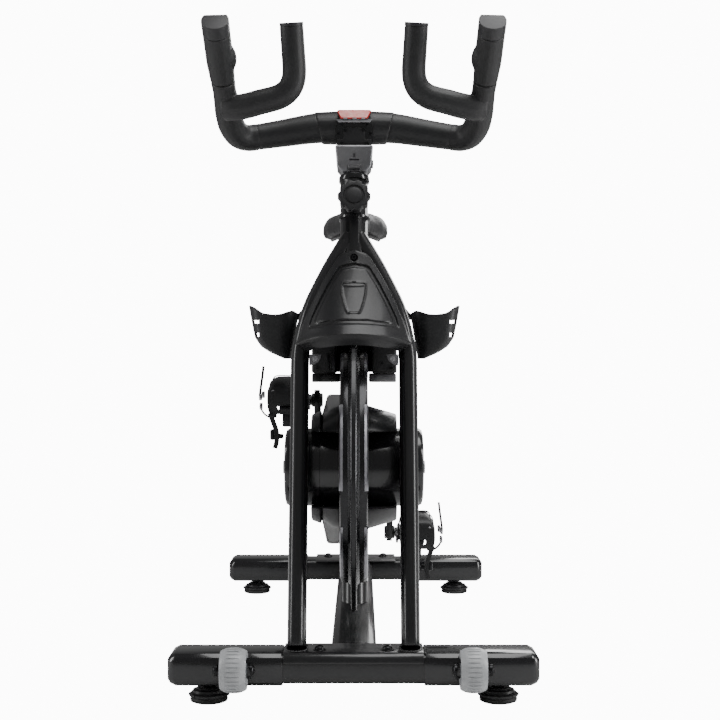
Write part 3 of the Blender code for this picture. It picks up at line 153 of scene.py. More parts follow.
# ------------------------------------------------------------------------------------ workshop
class Workshop:
    """The modelling steps that every sub-assembly shares."""

    @staticmethod
    def clear_selection() -> None:
        """Leave edit mode and select nothing."""
        if bpy.context.object and bpy.context.object.mode != "OBJECT":
            bpy.ops.object.mode_set(mode="OBJECT")
        bpy.ops.object.select_all(action="DESELECT")

    @staticmethod
    def only(piece: bpy.types.Object) -> bpy.types.Object:
        """Select one piece alone and make it active.

        Args:
            piece: The piece.

        Returns:
            The same piece.
        """
        Workshop.clear_selection()
        piece.select_set(True)
        bpy.context.view_layer.objects.active = piece
        return piece

    @staticmethod
    def settle(piece: bpy.types.Object) -> bpy.types.Object:
        """Put a piece's place into its mesh.

        Args:
            piece: The piece.

        Returns:
            The same piece.
        """
        Workshop.only(piece)
        bpy.ops.object.transform_apply(location=True, rotation=True, scale=True)
        return piece

    @staticmethod
    def edit(piece: bpy.types.Object, step: Callable[[], object]) -> bpy.types.Object:
        """Run one edit-mode step on everything in a piece.

        Args:
            piece: The piece.
            step: What to run with all of it selected.

        Returns:
            The same piece.
        """
        Workshop.only(piece)
        bpy.ops.object.mode_set(mode="EDIT")
        bpy.ops.mesh.select_all(action="SELECT")
        step()
        bpy.ops.object.mode_set(mode="OBJECT")
        return piece

    @staticmethod
    def outward(piece: bpy.types.Object) -> bpy.types.Object:
        """Merge doubles and turn every face outwards.

        Args:
            piece: A closed piece.

        Returns:
            The same piece.
        """
        def step() -> None:
            """Merge, then recalculate."""
            bpy.ops.mesh.remove_doubles(threshold=0.00002)
            bpy.ops.mesh.normals_make_consistent(inside=False)
        return Workshop.edit(piece, step)

    @staticmethod
    def apply(piece: bpy.types.Object, kind: str, **settings: object) -> bpy.types.Object:
        """Add a modifier and apply it.

        Args:
            piece: The piece.
            kind: The modifier's type.
            **settings: Its values.

        Returns:
            The same piece.
        """
        Workshop.only(piece)
        modifier = piece.modifiers.new(kind.title(), kind)
        for key, value in settings.items():
            setattr(modifier, key, value)
        bpy.ops.object.modifier_apply(modifier=modifier.name)
        return piece

    @staticmethod
    def soften(piece: bpy.types.Object, width: float, segments: int = 3,
               angle: float = 40) -> bpy.types.Object:
        """Round the sharp edges of a piece.

        Args:
            piece: The piece.
            width: Width of the rounding.
            segments: Faces across it.
            angle: Edges sharper than this, in degrees, are rounded.

        Returns:
            The same piece.
        """
        return Workshop.apply(piece, "BEVEL", width=width, segments=segments, limit_method="ANGLE",
                              angle_limit=radians(angle), harden_normals=False)

    @staticmethod
    def subdivide(piece: bpy.types.Object, levels: int = 1) -> bpy.types.Object:
        """Smooth a piece by subdivision."""
        return Workshop.apply(piece, "SUBSURF", levels=levels, render_levels=levels)

    @staticmethod
    def box(low: Point, high: Point, width: float = 0.0, segments: int = 3) -> bpy.types.Object:
        """A block between two corners with rounded edges.

        Args:
            low: Lowest corner.
            high: Highest corner.
            width: Rounding of its edges.
            segments: Faces across the rounding.

        Returns:
            The block.
        """
        Workshop.clear_selection()
        middle = (Vector(low) + Vector(high)) / 2
        size = Vector(high) - Vector(low)
        bpy.ops.mesh.primitive_cube_add(size=1, location=middle, scale=size)
        piece = Workshop.settle(bpy.context.object)
        return Workshop.soften(piece, width, segments) if width else piece

    @staticmethod
    def wire(points: Sequence[Point], closed: bool) -> bpy.types.Object:
        """A line of edges: a circle shaped to the points, and opened unless closed.

        Args:
            points: Where its corners go.
            closed: Whether the last joins the first.

        Returns:
            The line.
        """
        Workshop.clear_selection()
        bpy.ops.mesh.primitive_circle_add(vertices=len(points), radius=0.01, fill_type="NOTHING")
        piece = Workshop.settle(bpy.context.object)
        for vertex, point in zip(piece.data.vertices, points):
            vertex.co = point
        if not closed:
            ends = {0, len(points) - 1}
            bpy.ops.object.mode_set(mode="EDIT")
            bpy.context.tool_settings.mesh_select_mode = (False, True, False)
            bpy.ops.mesh.select_all(action="DESELECT")
            bpy.ops.object.mode_set(mode="OBJECT")
            for edge in piece.data.edges:
                edge.select = set(edge.vertices) == ends
            bpy.ops.object.mode_set(mode="EDIT")
            bpy.ops.mesh.delete(type="EDGE_FACE")
            bpy.context.tool_settings.mesh_select_mode = (True, False, False)
            bpy.ops.object.mode_set(mode="OBJECT")
        return piece

    @staticmethod
    def plate(outline: Sequence[Flat], axis: Axis, low: float, high: float, width: float = 0.0,
              segments: int = 2) -> bpy.types.Object:
        """An outline drawn across an axis, filled and extruded along it.

        Args:
            outline: Its corners.
            axis: The axis it is extruded along.
            low: Where it starts.
            high: Where it ends.
            width: Rounding of its sharp edges.
            segments: Faces across the rounding.

        Returns:
            The solid.
        """
        piece = Workshop.wire([across(axis, low, a, b) for a, b in outline], True)
        move = Vector(axis.value) * (high - low)

        def step() -> None:
            """Fill, extrude and turn the faces outwards."""
            bpy.ops.mesh.edge_face_add()
            bpy.ops.mesh.extrude_region_move(TRANSFORM_OT_translate={"value": move})
            bpy.ops.mesh.select_all(action="SELECT")
            bpy.ops.mesh.normals_make_consistent(inside=False)
        Workshop.edit(piece, step)
        return Workshop.soften(piece, width, segments) if width else piece

    @staticmethod
    def lathe(profile: Sequence[Flat], axis: Axis, centre: Point, steps: int = 64) -> bpy.types.Object:
        """A turned piece: a profile of (radius, along) spun about an axis.

        Args:
            profile: From one end to the other; radius 0 closes an end, and a last point like the
                first makes a ring.
            axis: The axis it turns about.
            centre: A point on the axis that along is counted from.
            steps: Faces round it.

        Returns:
            The turned piece.
        """
        ring = profile[0] == profile[-1]
        line = profile[:-1] if ring else profile
        middle = Vector(centre)
        points = [middle + Vector(across(axis, along, radius, 0.0)) for radius, along in line]
        piece = Workshop.wire(points, ring)
        Workshop.edit(piece, lambda: bpy.ops.mesh.spin(
            steps=steps, angle=2 * pi, center=middle, axis=axis.value, use_auto_merge=True))
        return Workshop.outward(piece)

    @staticmethod
    def tube(path: Sequence[Point], radii: float | Sequence[float], sides: int = 8,
             section: Sequence[Flat] | None = None) -> bpy.types.Object:
        """A tube along a path, as a mesh with closed ends.

        Args:
            path: Points on its centreline, close enough to be smooth.
            radii: One radius, or one for each point.
            sides: Bevel resolution: a quarter of the section has this many faces, plus one.
            section: Corners of the section when it isn't round, for a radius of 1.

        Returns:
            The tube.
        """
        Workshop.clear_selection()
        bpy.ops.curve.primitive_nurbs_path_add()
        holder = bpy.context.object
        curve = holder.data
        curve.splines.clear()
        spline = curve.splines.new("POLY")
        spline.points.add(len(path) - 1)
        sizes = [radii] * len(path) if isinstance(radii, float) else list(radii)
        for point, place, size in zip(spline.points, path, sizes):
            point.co = (*place, 1)
            point.radius = size
        curve.dimensions = "3D"
        curve.twist_mode = "MINIMUM"
        curve.use_fill_caps = True
        guide = None
        if section:
            guide = Workshop.section_curve(section)
            curve.bevel_mode = "OBJECT"
            curve.bevel_object = guide
        else:
            curve.bevel_depth = 1.0
            curve.bevel_resolution = sides
        Workshop.only(holder)
        bpy.ops.object.convert(target="MESH")
        if guide:
            bpy.data.objects.remove(guide)
        return Workshop.outward(Workshop.settle(bpy.context.object))

    @staticmethod
    def section_curve(section: Sequence[Flat]) -> bpy.types.Object:
        """A closed flat curve to carry along a path."""
        Workshop.clear_selection()
        bpy.ops.curve.primitive_nurbs_path_add()
        guide = bpy.context.object
        guide.data.splines.clear()
        guide.data.dimensions = "2D"
        spline = guide.data.splines.new("POLY")
        spline.points.add(len(section) - 1)
        for point, (a, b) in zip(spline.points, section):
            point.co = (a, b, 0, 1)
        spline.use_cyclic_u = True
        return guide

    @staticmethod
    def sheet_of(rows: Sequence[Sequence[Point]]) -> bpy.types.Object:
        """A grid of faces through rows of points.

        Args:
            rows: Rows of points, all of one length.

        Returns:
            The open surface.
        """
        Workshop.clear_selection()
        bpy.ops.mesh.primitive_grid_add(x_subdivisions=len(rows[0]) - 1, y_subdivisions=len(rows) - 1)
        piece = Workshop.settle(bpy.context.object)
        flat = [tuple(point) for row in rows for point in row]
        for vertex, place in zip(piece.data.vertices, flat):
            vertex.co = place
        return piece

    @staticmethod
    def loft(loops: Sequence[Sequence[Point]]) -> bpy.types.Object:
        """A closed skin through loops of points.

        Args:
            loops: The loops, each with as many points as the others.

        Returns:
            The solid.
        """
        piece = Workshop.sheet_of([[*loop, loop[0]] for loop in loops])

        def step() -> None:
            """Close the seam and both ends."""
            bpy.ops.mesh.remove_doubles(threshold=0.00001)
            bpy.ops.mesh.fill_holes(sides=0)
            bpy.ops.mesh.normals_make_consistent(inside=False)
        return Workshop.edit(piece, step)

    @staticmethod
    def boolean(piece: bpy.types.Object, other: bpy.types.Object, operation: str) -> bpy.types.Object:
        """Combine a piece with another, which is used up.

        Args:
            piece: The piece that stays.
            other: The piece that is taken away from it or joined to it.
            operation: DIFFERENCE, UNION or INTERSECT.

        Returns:
            The piece that stays.
        """
        Workshop.apply(piece, "BOOLEAN", operation=operation, solver="EXACT", object=other)
        bpy.data.objects.remove(other, do_unlink=True)
        return piece

    @staticmethod
    def cut(piece: bpy.types.Object, *cutters: bpy.types.Object) -> bpy.types.Object:
        """Take cutters away from a piece."""
        for cutter in cutters:
            Workshop.boolean(piece, cutter, "DIFFERENCE")
        return piece

    @staticmethod
    def fuse(piece: bpy.types.Object, *others: bpy.types.Object) -> bpy.types.Object:
        """Join others onto a piece as one body."""
        for other in others:
            Workshop.boolean(piece, other, "UNION")
        return piece

    @staticmethod
    def gather(pieces: Sequence[bpy.types.Object]) -> bpy.types.Object:
        """Put separate shapes into one object, such as a set of like screws.

        Args:
            pieces: The shapes; the first one stays.

        Returns:
            The first, which now holds all of them.
        """
        Workshop.clear_selection()
        for piece in pieces:
            piece.select_set(True)
        bpy.context.view_layer.objects.active = pieces[0]
        if len(pieces) > 1:
            bpy.ops.object.join()
        return pieces[0]

    @staticmethod
    def moulded(piece: bpy.types.Object, voxel: float, rounds: int) -> bpy.types.Object:
        """Melt a fused shape into one skin with soft joints.

        Args:
            piece: The fused shape.
            voxel: Size of the grid that it is remade on.
            rounds: Passes of smoothing.

        Returns:
            The same piece.
        """
        Workshop.apply(piece, "REMESH", mode="VOXEL", voxel_size=voxel)
        return Workshop.apply(piece, "SMOOTH", factor=0.5, iterations=rounds)

    @staticmethod
    def copy(piece: bpy.types.Object) -> bpy.types.Object:
        """A copy with its own mesh."""
        Workshop.only(piece)
        bpy.ops.object.duplicate()
        return bpy.context.object

    @staticmethod
    def placed(piece: bpy.types.Object, matrix: Matrix) -> bpy.types.Object:
        """Move a piece, with its place in its mesh.

        Args:
            piece: The piece.
            matrix: Where it goes.

        Returns:
            The same piece.
        """
        piece.matrix_world = matrix
        return Workshop.settle(piece)

    @staticmethod
    def mirrored(piece: bpy.types.Object) -> bpy.types.Object:
        """A copy on the other side of X = 0, with its faces still outwards."""
        twin = Workshop.placed(Workshop.copy(piece), Matrix.Scale(-1, 4, (1, 0, 0)))
        middle = twin_centre(twin)
        if sum(face.area * (face.center - middle).dot(face.normal) for face in twin.data.polygons) < 0:
            Workshop.edit(twin, bpy.ops.mesh.flip_normals)
        return twin

    @staticmethod
    def skin(node: str, width: float = 0.0, segments: int = 2, angle: float = 35) -> bpy.types.Object:
        """A clean copy of a CAD node, with its sharp edges rounded.

        Args:
            node: The node's name.
            width: Width of the rounding.
            segments: Faces across it.
            angle: Edges sharper than this, in degrees, are rounded.

        Returns:
            The copy, which replaces nothing yet.
        """
        source = frame["nodes"][node]
        mesh = source.data.copy()
        mesh.materials.clear()
        piece = bpy.data.objects.new(node + "_skin", mesh)
        bpy.context.scene.collection.objects.link(piece)

        def step() -> None:
            """Merge the loose triangles, and join flat ones."""
            bpy.ops.mesh.remove_doubles(threshold=0.00001)
            bpy.ops.mesh.dissolve_limited(angle_limit=radians(1.5))
        Workshop.edit(piece, step)
        return Workshop.soften(piece, width, segments, angle) if width else piece


def twin_centre(piece: bpy.types.Object) -> Vector:
    """The middle of a piece's vertices."""
    total = Vector((0, 0, 0))
    for vertex in piece.data.vertices:
        total += vertex.co
    return total / max(1, len(piece.data.vertices))


def smooth_path(points: Sequence[Point], steps: int = 8) -> list[Vector]:
    """Points of a smooth curve through a few points.

    Args:
        points: The points it passes through.
        steps: Stretches between two of them.

    Returns:
        The curve's points.
    """
    knots = [Vector(p) for p in points]
    knots = [2 * knots[0] - knots[1]] + knots + [2 * knots[-1] - knots[-2]]
    path = []
    for a, b, c, d in zip(knots, knots[1:], knots[2:], knots[3:]):
        for i in range(steps):
            t = i / steps
            path.append(0.5 * (2 * b + (c - a) * t + (2 * a - 5 * b + 4 * c - d) * t ** 2
                               + (3 * b - a - 3 * c + d) * t ** 3))
    path.append(knots[-2])
    return path


def arc(centre: Flat, radius: float, start: float, end: float, steps: int) -> list[Flat]:
    """Points of an arc, its angles in degrees.

    Args:
        centre: Its centre.
        radius: Its radius.
        start: First angle.
        end: Last angle.
        steps: Stretches along it.

    Returns:
        The points.
    """
    turns = [radians(start + (end - start) * i / steps) for i in range(steps + 1)]
    return [(centre[0] + radius * cos(t), centre[1] + radius * sin(t)) for t in turns]


# ------------------------------------------------------------------------------------ finishes
Colour = tuple[float, float, float]


@dataclass(frozen=True)
class Finish:
    """A surface: its colour, shine and fine texture, as a node-based material.

    The colour drifts between two tones, the roughness drifts about its middle, and a bump gives
    the grain. All patterns follow Object coordinates, in metres.
    """

    name: str
    slot: str
    light: Colour
    dark: Colour
    roughness: float = 0.4
    roughness_spread: float = 0.06
    metallic: float = 0.0
    coat: float = 0.0
    tone_scale: float = 9.0
    grain_scale: float = 900.0
    grain_depth: float = 0.00005
    grain_strength: float = 0.35
    cells: bool = False
    stretch: Colour = (1.0, 1.0, 1.0)
    specular: float = 0.5
    sheen: float = 0.0
    glow: float = 0.0

    def material(self) -> bpy.types.Material:
        """The material, made once and then shared.

        Returns:
            The material.
        """
        found = bpy.data.materials.get(self.name)
        if found:
            return found
        material = bpy.data.materials.new(self.name)
        material.use_nodes = True
        tree = material.node_tree
        shader = tree.nodes["Principled BSDF"]
        for socket, value in (("Metallic", self.metallic), ("Coat Weight", self.coat),
                              ("Coat Roughness", 0.06),
                              ("Specular IOR Level", self.specular), ("Sheen Weight", self.sheen),
                              ("Emission Strength", self.glow)):
            shader.inputs[socket].default_value = value
        place = tree.nodes.new("ShaderNodeTexCoord").outputs["Object"]
        spread = self.mapped(tree, place)
        self.colour(tree, spread, shader)
        self.shine(tree, spread, shader)
        self.grain(tree, spread, shader)
        return material

    def mapped(self, tree: bpy.types.NodeTree, place: bpy.types.NodeSocket) -> bpy.types.NodeSocket:
        """Object coordinates, stretched where the surface is brushed or turned.

        Args:
            tree: The material's nodes.
            place: Object coordinates.

        Returns:
            The socket to read.
        """
        mapping = tree.nodes.new("ShaderNodeMapping")
        mapping.inputs["Scale"].default_value = self.stretch
        tree.links.new(place, mapping.inputs["Vector"])
        return mapping.outputs["Vector"]

    def noise(self, tree: bpy.types.NodeTree, place: bpy.types.NodeSocket, scale: float,
              detail: float) -> bpy.types.NodeSocket:
        """A noise value at a scale."""
        node = tree.nodes.new("ShaderNodeTexNoise")
        node.inputs["Scale"].default_value = scale
        node.inputs["Detail"].default_value = detail
        tree.links.new(place, node.inputs["Vector"])
        return node.outputs["Fac"]

    def colour(self, tree: bpy.types.NodeTree, place: bpy.types.NodeSocket,
               shader: bpy.types.Node) -> None:
        """Drift the colour between the two tones.

        Args:
            tree: The material's nodes.
            place: Coordinates to read.
            shader: The material's shader.
        """
        ramp = tree.nodes.new("ShaderNodeValToRGB")
        ramp.color_ramp.elements[0].position = 0.35
        ramp.color_ramp.elements[1].position = 0.68
        ramp.color_ramp.elements[0].color = (*self.dark, 1)
        ramp.color_ramp.elements[1].color = (*self.light, 1)
        tree.links.new(self.noise(tree, place, self.tone_scale, 4), ramp.inputs["Fac"])
        tree.links.new(ramp.outputs["Color"], shader.inputs["Base Color"])
        if self.glow:
            tree.links.new(ramp.outputs["Color"], shader.inputs["Emission Color"])

    def shine(self, tree: bpy.types.NodeTree, place: bpy.types.NodeSocket,
              shader: bpy.types.Node) -> None:
        """Drift the roughness about its middle."""
        spread = tree.nodes.new("ShaderNodeMapRange")
        spread.inputs["To Min"].default_value = self.roughness - self.roughness_spread
        spread.inputs["To Max"].default_value = self.roughness + self.roughness_spread
        tree.links.new(self.noise(tree, place, self.tone_scale * 6, 5), spread.inputs["Value"])
        tree.links.new(spread.outputs["Result"], shader.inputs["Roughness"])

    def grain(self, tree: bpy.types.NodeTree, place: bpy.types.NodeSocket,
              shader: bpy.types.Node) -> None:
        """Fine bump: pebbled cells, or a plain grain."""
        if self.cells:
            node = tree.nodes.new("ShaderNodeTexVoronoi")
            node.feature = "SMOOTH_F1"
            node.inputs["Scale"].default_value = self.grain_scale
            tree.links.new(place, node.inputs["Vector"])
            height = node.outputs["Distance"]
        else:
            height = self.noise(tree, place, self.grain_scale, 3)
        bump = tree.nodes.new("ShaderNodeBump")
        bump.inputs["Strength"].default_value = self.grain_strength
        bump.inputs["Distance"].default_value = self.grain_depth
        tree.links.new(height, bump.inputs["Height"])
        tree.links.new(bump.outputs["Normal"], shader.inputs["Normal"])


FRAME_PAINT = Finish("satin_black_frame_coat", "frame_paint", (0.011, 0.011, 0.012), (0.007, 0.007, 0.008),
                     0.30, 0.05, coat=0.25, grain_scale=1400, grain_depth=0.00003, grain_strength=0.25)
GLOSS = Finish("gloss_black_moulding", "gloss_plastic", (0.008, 0.008, 0.009), (0.005, 0.005, 0.006),
               0.20, 0.04, coat=0.35, grain_scale=700, grain_depth=0.00002, grain_strength=0.15)
SATIN = Finish("satin_black_moulding", "satin_plastic", (0.016, 0.016, 0.017), (0.010, 0.010, 0.011),
               0.42, 0.06, grain_scale=1600, grain_depth=0.00004, grain_strength=0.4, cells=True)
SOFT_GRIP = Finish("soft_touch_grip", "soft_grip", (0.017, 0.017, 0.018), (0.011, 0.011, 0.012),
                   0.50, 0.06, grain_scale=1100, grain_depth=0.00008, grain_strength=0.55, cells=True,
                   sheen=0.05)
GRIP_CAP = Finish("grip_end_cap", "soft_grip", (0.030, 0.030, 0.032), (0.020, 0.020, 0.022),
                  0.46, 0.05, grain_scale=900, grain_depth=0.00004)
FLYWHEEL_ALLOY = Finish("dark_turned_alloy", "flywheel_alloy", (0.030, 0.030, 0.032), (0.018, 0.018, 0.020),
                        0.27, 0.05, metallic=0.75, tone_scale=14, grain_scale=1200, grain_depth=0.00002,
                        coat=0.2)
BRIGHT_RIM = Finish("machined_rim_edge", "flywheel_alloy", (0.40, 0.40, 0.42), (0.24, 0.24, 0.26),
                    0.30, 0.08, metallic=1.0, tone_scale=40, grain_scale=1500, grain_depth=0.00003)
CRANK_ALLOY = Finish("black_coated_alloy", "crank_alloy", (0.020, 0.020, 0.022), (0.012, 0.012, 0.013),
                     0.33, 0.06, metallic=0.4, coat=0.2)
STEM_ALLOY = Finish("grey_satin_alloy", "stem_alloy", (0.30, 0.30, 0.31), (0.20, 0.20, 0.21),
                    0.38, 0.06, metallic=0.85, tone_scale=20, grain_scale=1800, grain_depth=0.00003)
BRIGHT_STEEL = Finish("bright_plated_steel", "bright_steel", (0.66, 0.66, 0.68), (0.48, 0.48, 0.50),
                      0.24, 0.08, metallic=1.0, tone_scale=60, grain_scale=1600, grain_depth=0.00003)
DARK_STEEL = Finish("dark_coated_steel", "dark_steel", (0.030, 0.030, 0.032), (0.018, 0.018, 0.020),
                    0.34, 0.06, metallic=0.5, grain_scale=1200)
BOLT_BLACK = Finish("blackened_bolt", "dark_steel", (0.024, 0.024, 0.026), (0.012, 0.012, 0.013),
                    0.28, 0.08, metallic=0.7, tone_scale=80, grain_scale=1500)
RUBBER = Finish("matt_rubber", "foot_rubber", (0.022, 0.022, 0.022), (0.013, 0.013, 0.013),
                0.62, 0.08, tone_scale=30, grain_scale=1300, grain_depth=0.00008, cells=True)
BELT = Finish("ribbed_belt", "belt_rubber", (0.020, 0.020, 0.020), (0.012, 0.012, 0.012), 0.7, 0.06)
WHEEL = Finish("pale_translucent_plastic", "wheel_plastic", (0.46, 0.47, 0.48), (0.34, 0.35, 0.36),
               0.38, 0.06, tone_scale=25, grain_scale=900, grain_depth=0.00004, coat=0.15)
WHEEL_DARK = Finish("grey_wheel_hub", "wheel_plastic", (0.22, 0.23, 0.24), (0.15, 0.16, 0.17), 0.4, 0.05)
VINYL = Finish("black_saddle_vinyl", "saddle_vinyl", (0.016, 0.016, 0.017), (0.010, 0.010, 0.011),
               0.46, 0.07, grain_scale=750, grain_depth=0.00016, grain_strength=0.6, cells=True, sheen=0.1)
LED_PANEL = Finish("red_display_window", "gloss_plastic", (0.86, 0.46, 0.43), (0.74, 0.30, 0.28),
                   0.22, 0.03, tone_scale=160, glow=0.55, coat=0.5)
LED_BORDER = Finish("deep_red_border", "gloss_plastic", (0.62, 0.03, 0.02), (0.42, 0.015, 0.012),
                    0.25, 0.03, tone_scale=60, glow=0.35, coat=0.5)
PALE_TRIM = Finish("pale_grey_trim", "stem_alloy", (0.50, 0.50, 0.52), (0.38, 0.38, 0.40), 0.34, 0.05,
                   metallic=0.6)
GREY_TAB = Finish("grey_bracket_tab", "stem_alloy", (0.20, 0.20, 0.21), (0.13, 0.13, 0.14), 0.42, 0.05,
                  metallic=0.3)


MASK_BLACK = Finish("moulded_mask_black", "gloss_plastic", (0.013, 0.013, 0.014), (0.009, 0.009, 0.010), 0.34,
                    0.04,
                    coat=0.12, specular=0.38, grain_scale=900, grain_depth=0.00002, grain_strength=0.2)
HUB_GREY = Finish("graphite_moulding", "gloss_plastic", (0.034, 0.034, 0.036), (0.022, 0.022, 0.024), 0.34,
                  0.05,
                  coat=0.2, grain_scale=900, grain_depth=0.00003)


def finished(piece: bpy.types.Object, name: str, body: str, finish: Finish,
             nodes: Sequence[str] = (), angle: float = 35) -> bpy.types.Object:
    """Name, dress, shade and hand over a finished piece.

    Args:
        piece: The piece, in place.
        name: Its name.
        body: The CAD body that it rides on.
        finish: Its finish.
        nodes: The CAD nodes that it stands for.
        angle: Edges sharper than this, in degrees, stay crisp.

    Returns:
        The same piece.
    """
    Workshop.settle(piece)
    piece.name = name
    piece.data.name = name
    piece.data.materials.clear()
    piece.data.materials.append(finish.material())
    Workshop.only(piece)
    bpy.ops.object.shade_smooth_by_angle(angle=radians(angle))
    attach(piece, body)
    if nodes:
        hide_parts(*nodes)
    LOG.info("%s: %d faces on %s", name, len(piece.data.polygons), body)
    return piece


def body_of(node: str) -> str:
    """The body that a CAD node belongs to."""
    return frame["nodes"][node]["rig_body"]


def middle_of(node: str) -> Vector:
    """The middle of a CAD node's box."""
    low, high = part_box(node)
    return (low + high) / 2


def joint(name: str) -> dict:
    """A joint from the record, by its name."""
    return next(j for j in frame["joints"] if j["name"] == name)


# ------------------------------------------------------------------------------------ plain skins
@dataclass
class PlainSkins:
    """CAD nodes whose shape is right: each gets a clean copy with rounded edges, or only a finish."""

    rounded: dict[str, tuple[Finish, float]] = field(default_factory=lambda: {
        "front_stabilizer_tube": (FRAME_PAINT, 0.0), "rear_stabilizer_tube": (FRAME_PAINT, 0.0),
        "base_beam": (FRAME_PAINT, 0.0006), "front_mount_plate": (FRAME_PAINT, 0.0006),
        "main_tube": (FRAME_PAINT, 0.0), "seat_tube": (FRAME_PAINT, 0.0006),
        "seat_tube_sleeve": (GLOSS, 0.0006), "head_post_sleeve": (GLOSS, 0.0006),
        "bottom_bracket_shell": (FRAME_PAINT, 0.0006), "base_strut": (FRAME_PAINT, 0.0),
        "drive_belt": (BELT, 0.0), "crank_pulley": (SATIN, 0.0), "crank_axle": (BRIGHT_STEEL, 0.0006),
        "flywheel_axle": (BRIGHT_STEEL, 0.0), "magnet_yoke": (DARK_STEEL, 0.0006),
        "brake_rod": (BRIGHT_STEEL, 0.0005), "seat_post": (FRAME_PAINT, 0.0005),
        "saddle_carriage": (DARK_STEEL, 0.0006)})

    def build(self) -> None:
        """Make every skin."""
        for node, (finish, width) in self.rounded.items():
            piece = Workshop.skin(node, width)
            finished(piece, node + "_skin", body_of(node), finish, [node])


# ------------------------------------------------------------------------------------ studio
@dataclass
class Studio:
    """Pale floor, soft lights and the camera."""

    distance: float = 2.137            # camera to the front stabilizer's centre
    sideways: float = 0.0095
    height: float = 0.511
    lens: float = 71.3
    floor_half: float = 6.0
    white: float = 12.0                # brightness of the floor and backdrop as seen
    ambient: float = 0.22

    def build(self) -> None:
        """Make the floor, the lights and the camera."""
        self.floor()
        self.world()
        self.lights()
        self.camera()

    def floor(self) -> None:
        """A pale floor that runs far behind the bike and looks evenly white."""
        Workshop.clear_selection()
        bpy.ops.mesh.primitive_plane_add(size=2 * self.floor_half, location=(0, 0, -0.0005))
        floor = Workshop.settle(bpy.context.object)
        floor.name = "studio_floor"
        material = bpy.data.materials.new("studio_white")
        material.use_nodes = True
        tree = material.node_tree
        shader = tree.nodes["Principled BSDF"]
        shader.inputs["Base Color"].default_value = (0.8, 0.8, 0.8, 1)
        shader.inputs["Roughness"].default_value = 0.9
        glow = tree.nodes.new("ShaderNodeEmission")
        glow.inputs["Strength"].default_value = self.white
        self.seen_only(tree, shader.outputs["BSDF"], glow.outputs["Emission"],
                       tree.nodes["Material Output"].inputs["Surface"])
        floor.data.materials.append(material)
        floor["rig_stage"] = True

    def seen_only(self, tree: bpy.types.NodeTree, lighting: bpy.types.NodeSocket,
                  seen: bpy.types.NodeSocket, target: bpy.types.NodeSocket) -> None:
        """Show one shader to the camera and use another for lighting.

        Args:
            tree: The nodes.
            lighting: The shader that lights the bike.
            seen: The shader that the camera sees.
            target: The socket that takes the mix.
        """
        path = tree.nodes.new("ShaderNodeLightPath")
        mix = tree.nodes.new("ShaderNodeMixShader")
        tree.links.new(path.outputs["Is Camera Ray"], mix.inputs["Fac"])
        tree.links.new(lighting, mix.inputs[1])
        tree.links.new(seen, mix.inputs[2])
        tree.links.new(mix.outputs["Shader"], target)

    def world(self) -> None:
        """Dim surroundings for the bike, behind a white backdrop."""
        world = bpy.data.worlds.new("studio_world")
        world.use_nodes = True
        tree = world.node_tree
        dim = tree.nodes["Background"]
        dim.inputs["Color"].default_value = (1, 1, 1, 1)
        dim.inputs["Strength"].default_value = self.ambient
        bright = tree.nodes.new("ShaderNodeBackground")
        bright.inputs["Strength"].default_value = self.white
        bright.inputs["Color"].default_value = (1, 1, 1, 1)
        self.seen_only(tree, dim.outputs["Background"], bright.outputs["Background"],
                       tree.nodes["World Output"].inputs["Surface"])
        bpy.context.scene.world = world

    def lights(self) -> None:
        """Soft boxes: a broad one above, and a strip on each side."""
        for name, place, target, size, power in (
                ("top_box", (0.6, -0.6, 3.0), (0.0, 0.0, 0.5), (2.4, 1.6), 60),
                ("left_strip", (2.4, -0.9, 1.1), (0.0, 0.0, 0.6), (0.5, 2.2), 45),
                ("right_strip", (-2.4, -0.7, 1.2), (0.0, 0.0, 0.6), (0.5, 2.2), 28),
                ("rear_rim", (1.2, 2.6, 1.8), (0.0, 0.2, 0.6), (1.6, 1.2), 30)):
            lamp = bpy.data.lights.new(name, "AREA")
            lamp.shape = "RECTANGLE"
            lamp.size, lamp.size_y = size
            lamp.energy = power
            holder = bpy.data.objects.new(name, lamp)
            bpy.context.scene.collection.objects.link(holder)
            holder.location = place
            aim = Vector(target) - Vector(place)
            holder.rotation_euler = aim.to_track_quat("-Z", "Y").to_euler()

    def camera(self) -> None:
        """A level camera in front of the bike."""
        lens = bpy.data.cameras.new("front_camera")
        lens.lens = self.lens
        lens.sensor_width = 36
        holder = bpy.data.objects.new("front_camera", lens)
        bpy.context.scene.collection.objects.link(holder)
        front = middle_of("front_stabilizer_tube").y
        holder.location = (self.sideways, front - self.distance, self.height)
        holder.rotation_euler = (pi / 2, 0, 0)
        bpy.context.scene.camera = holder


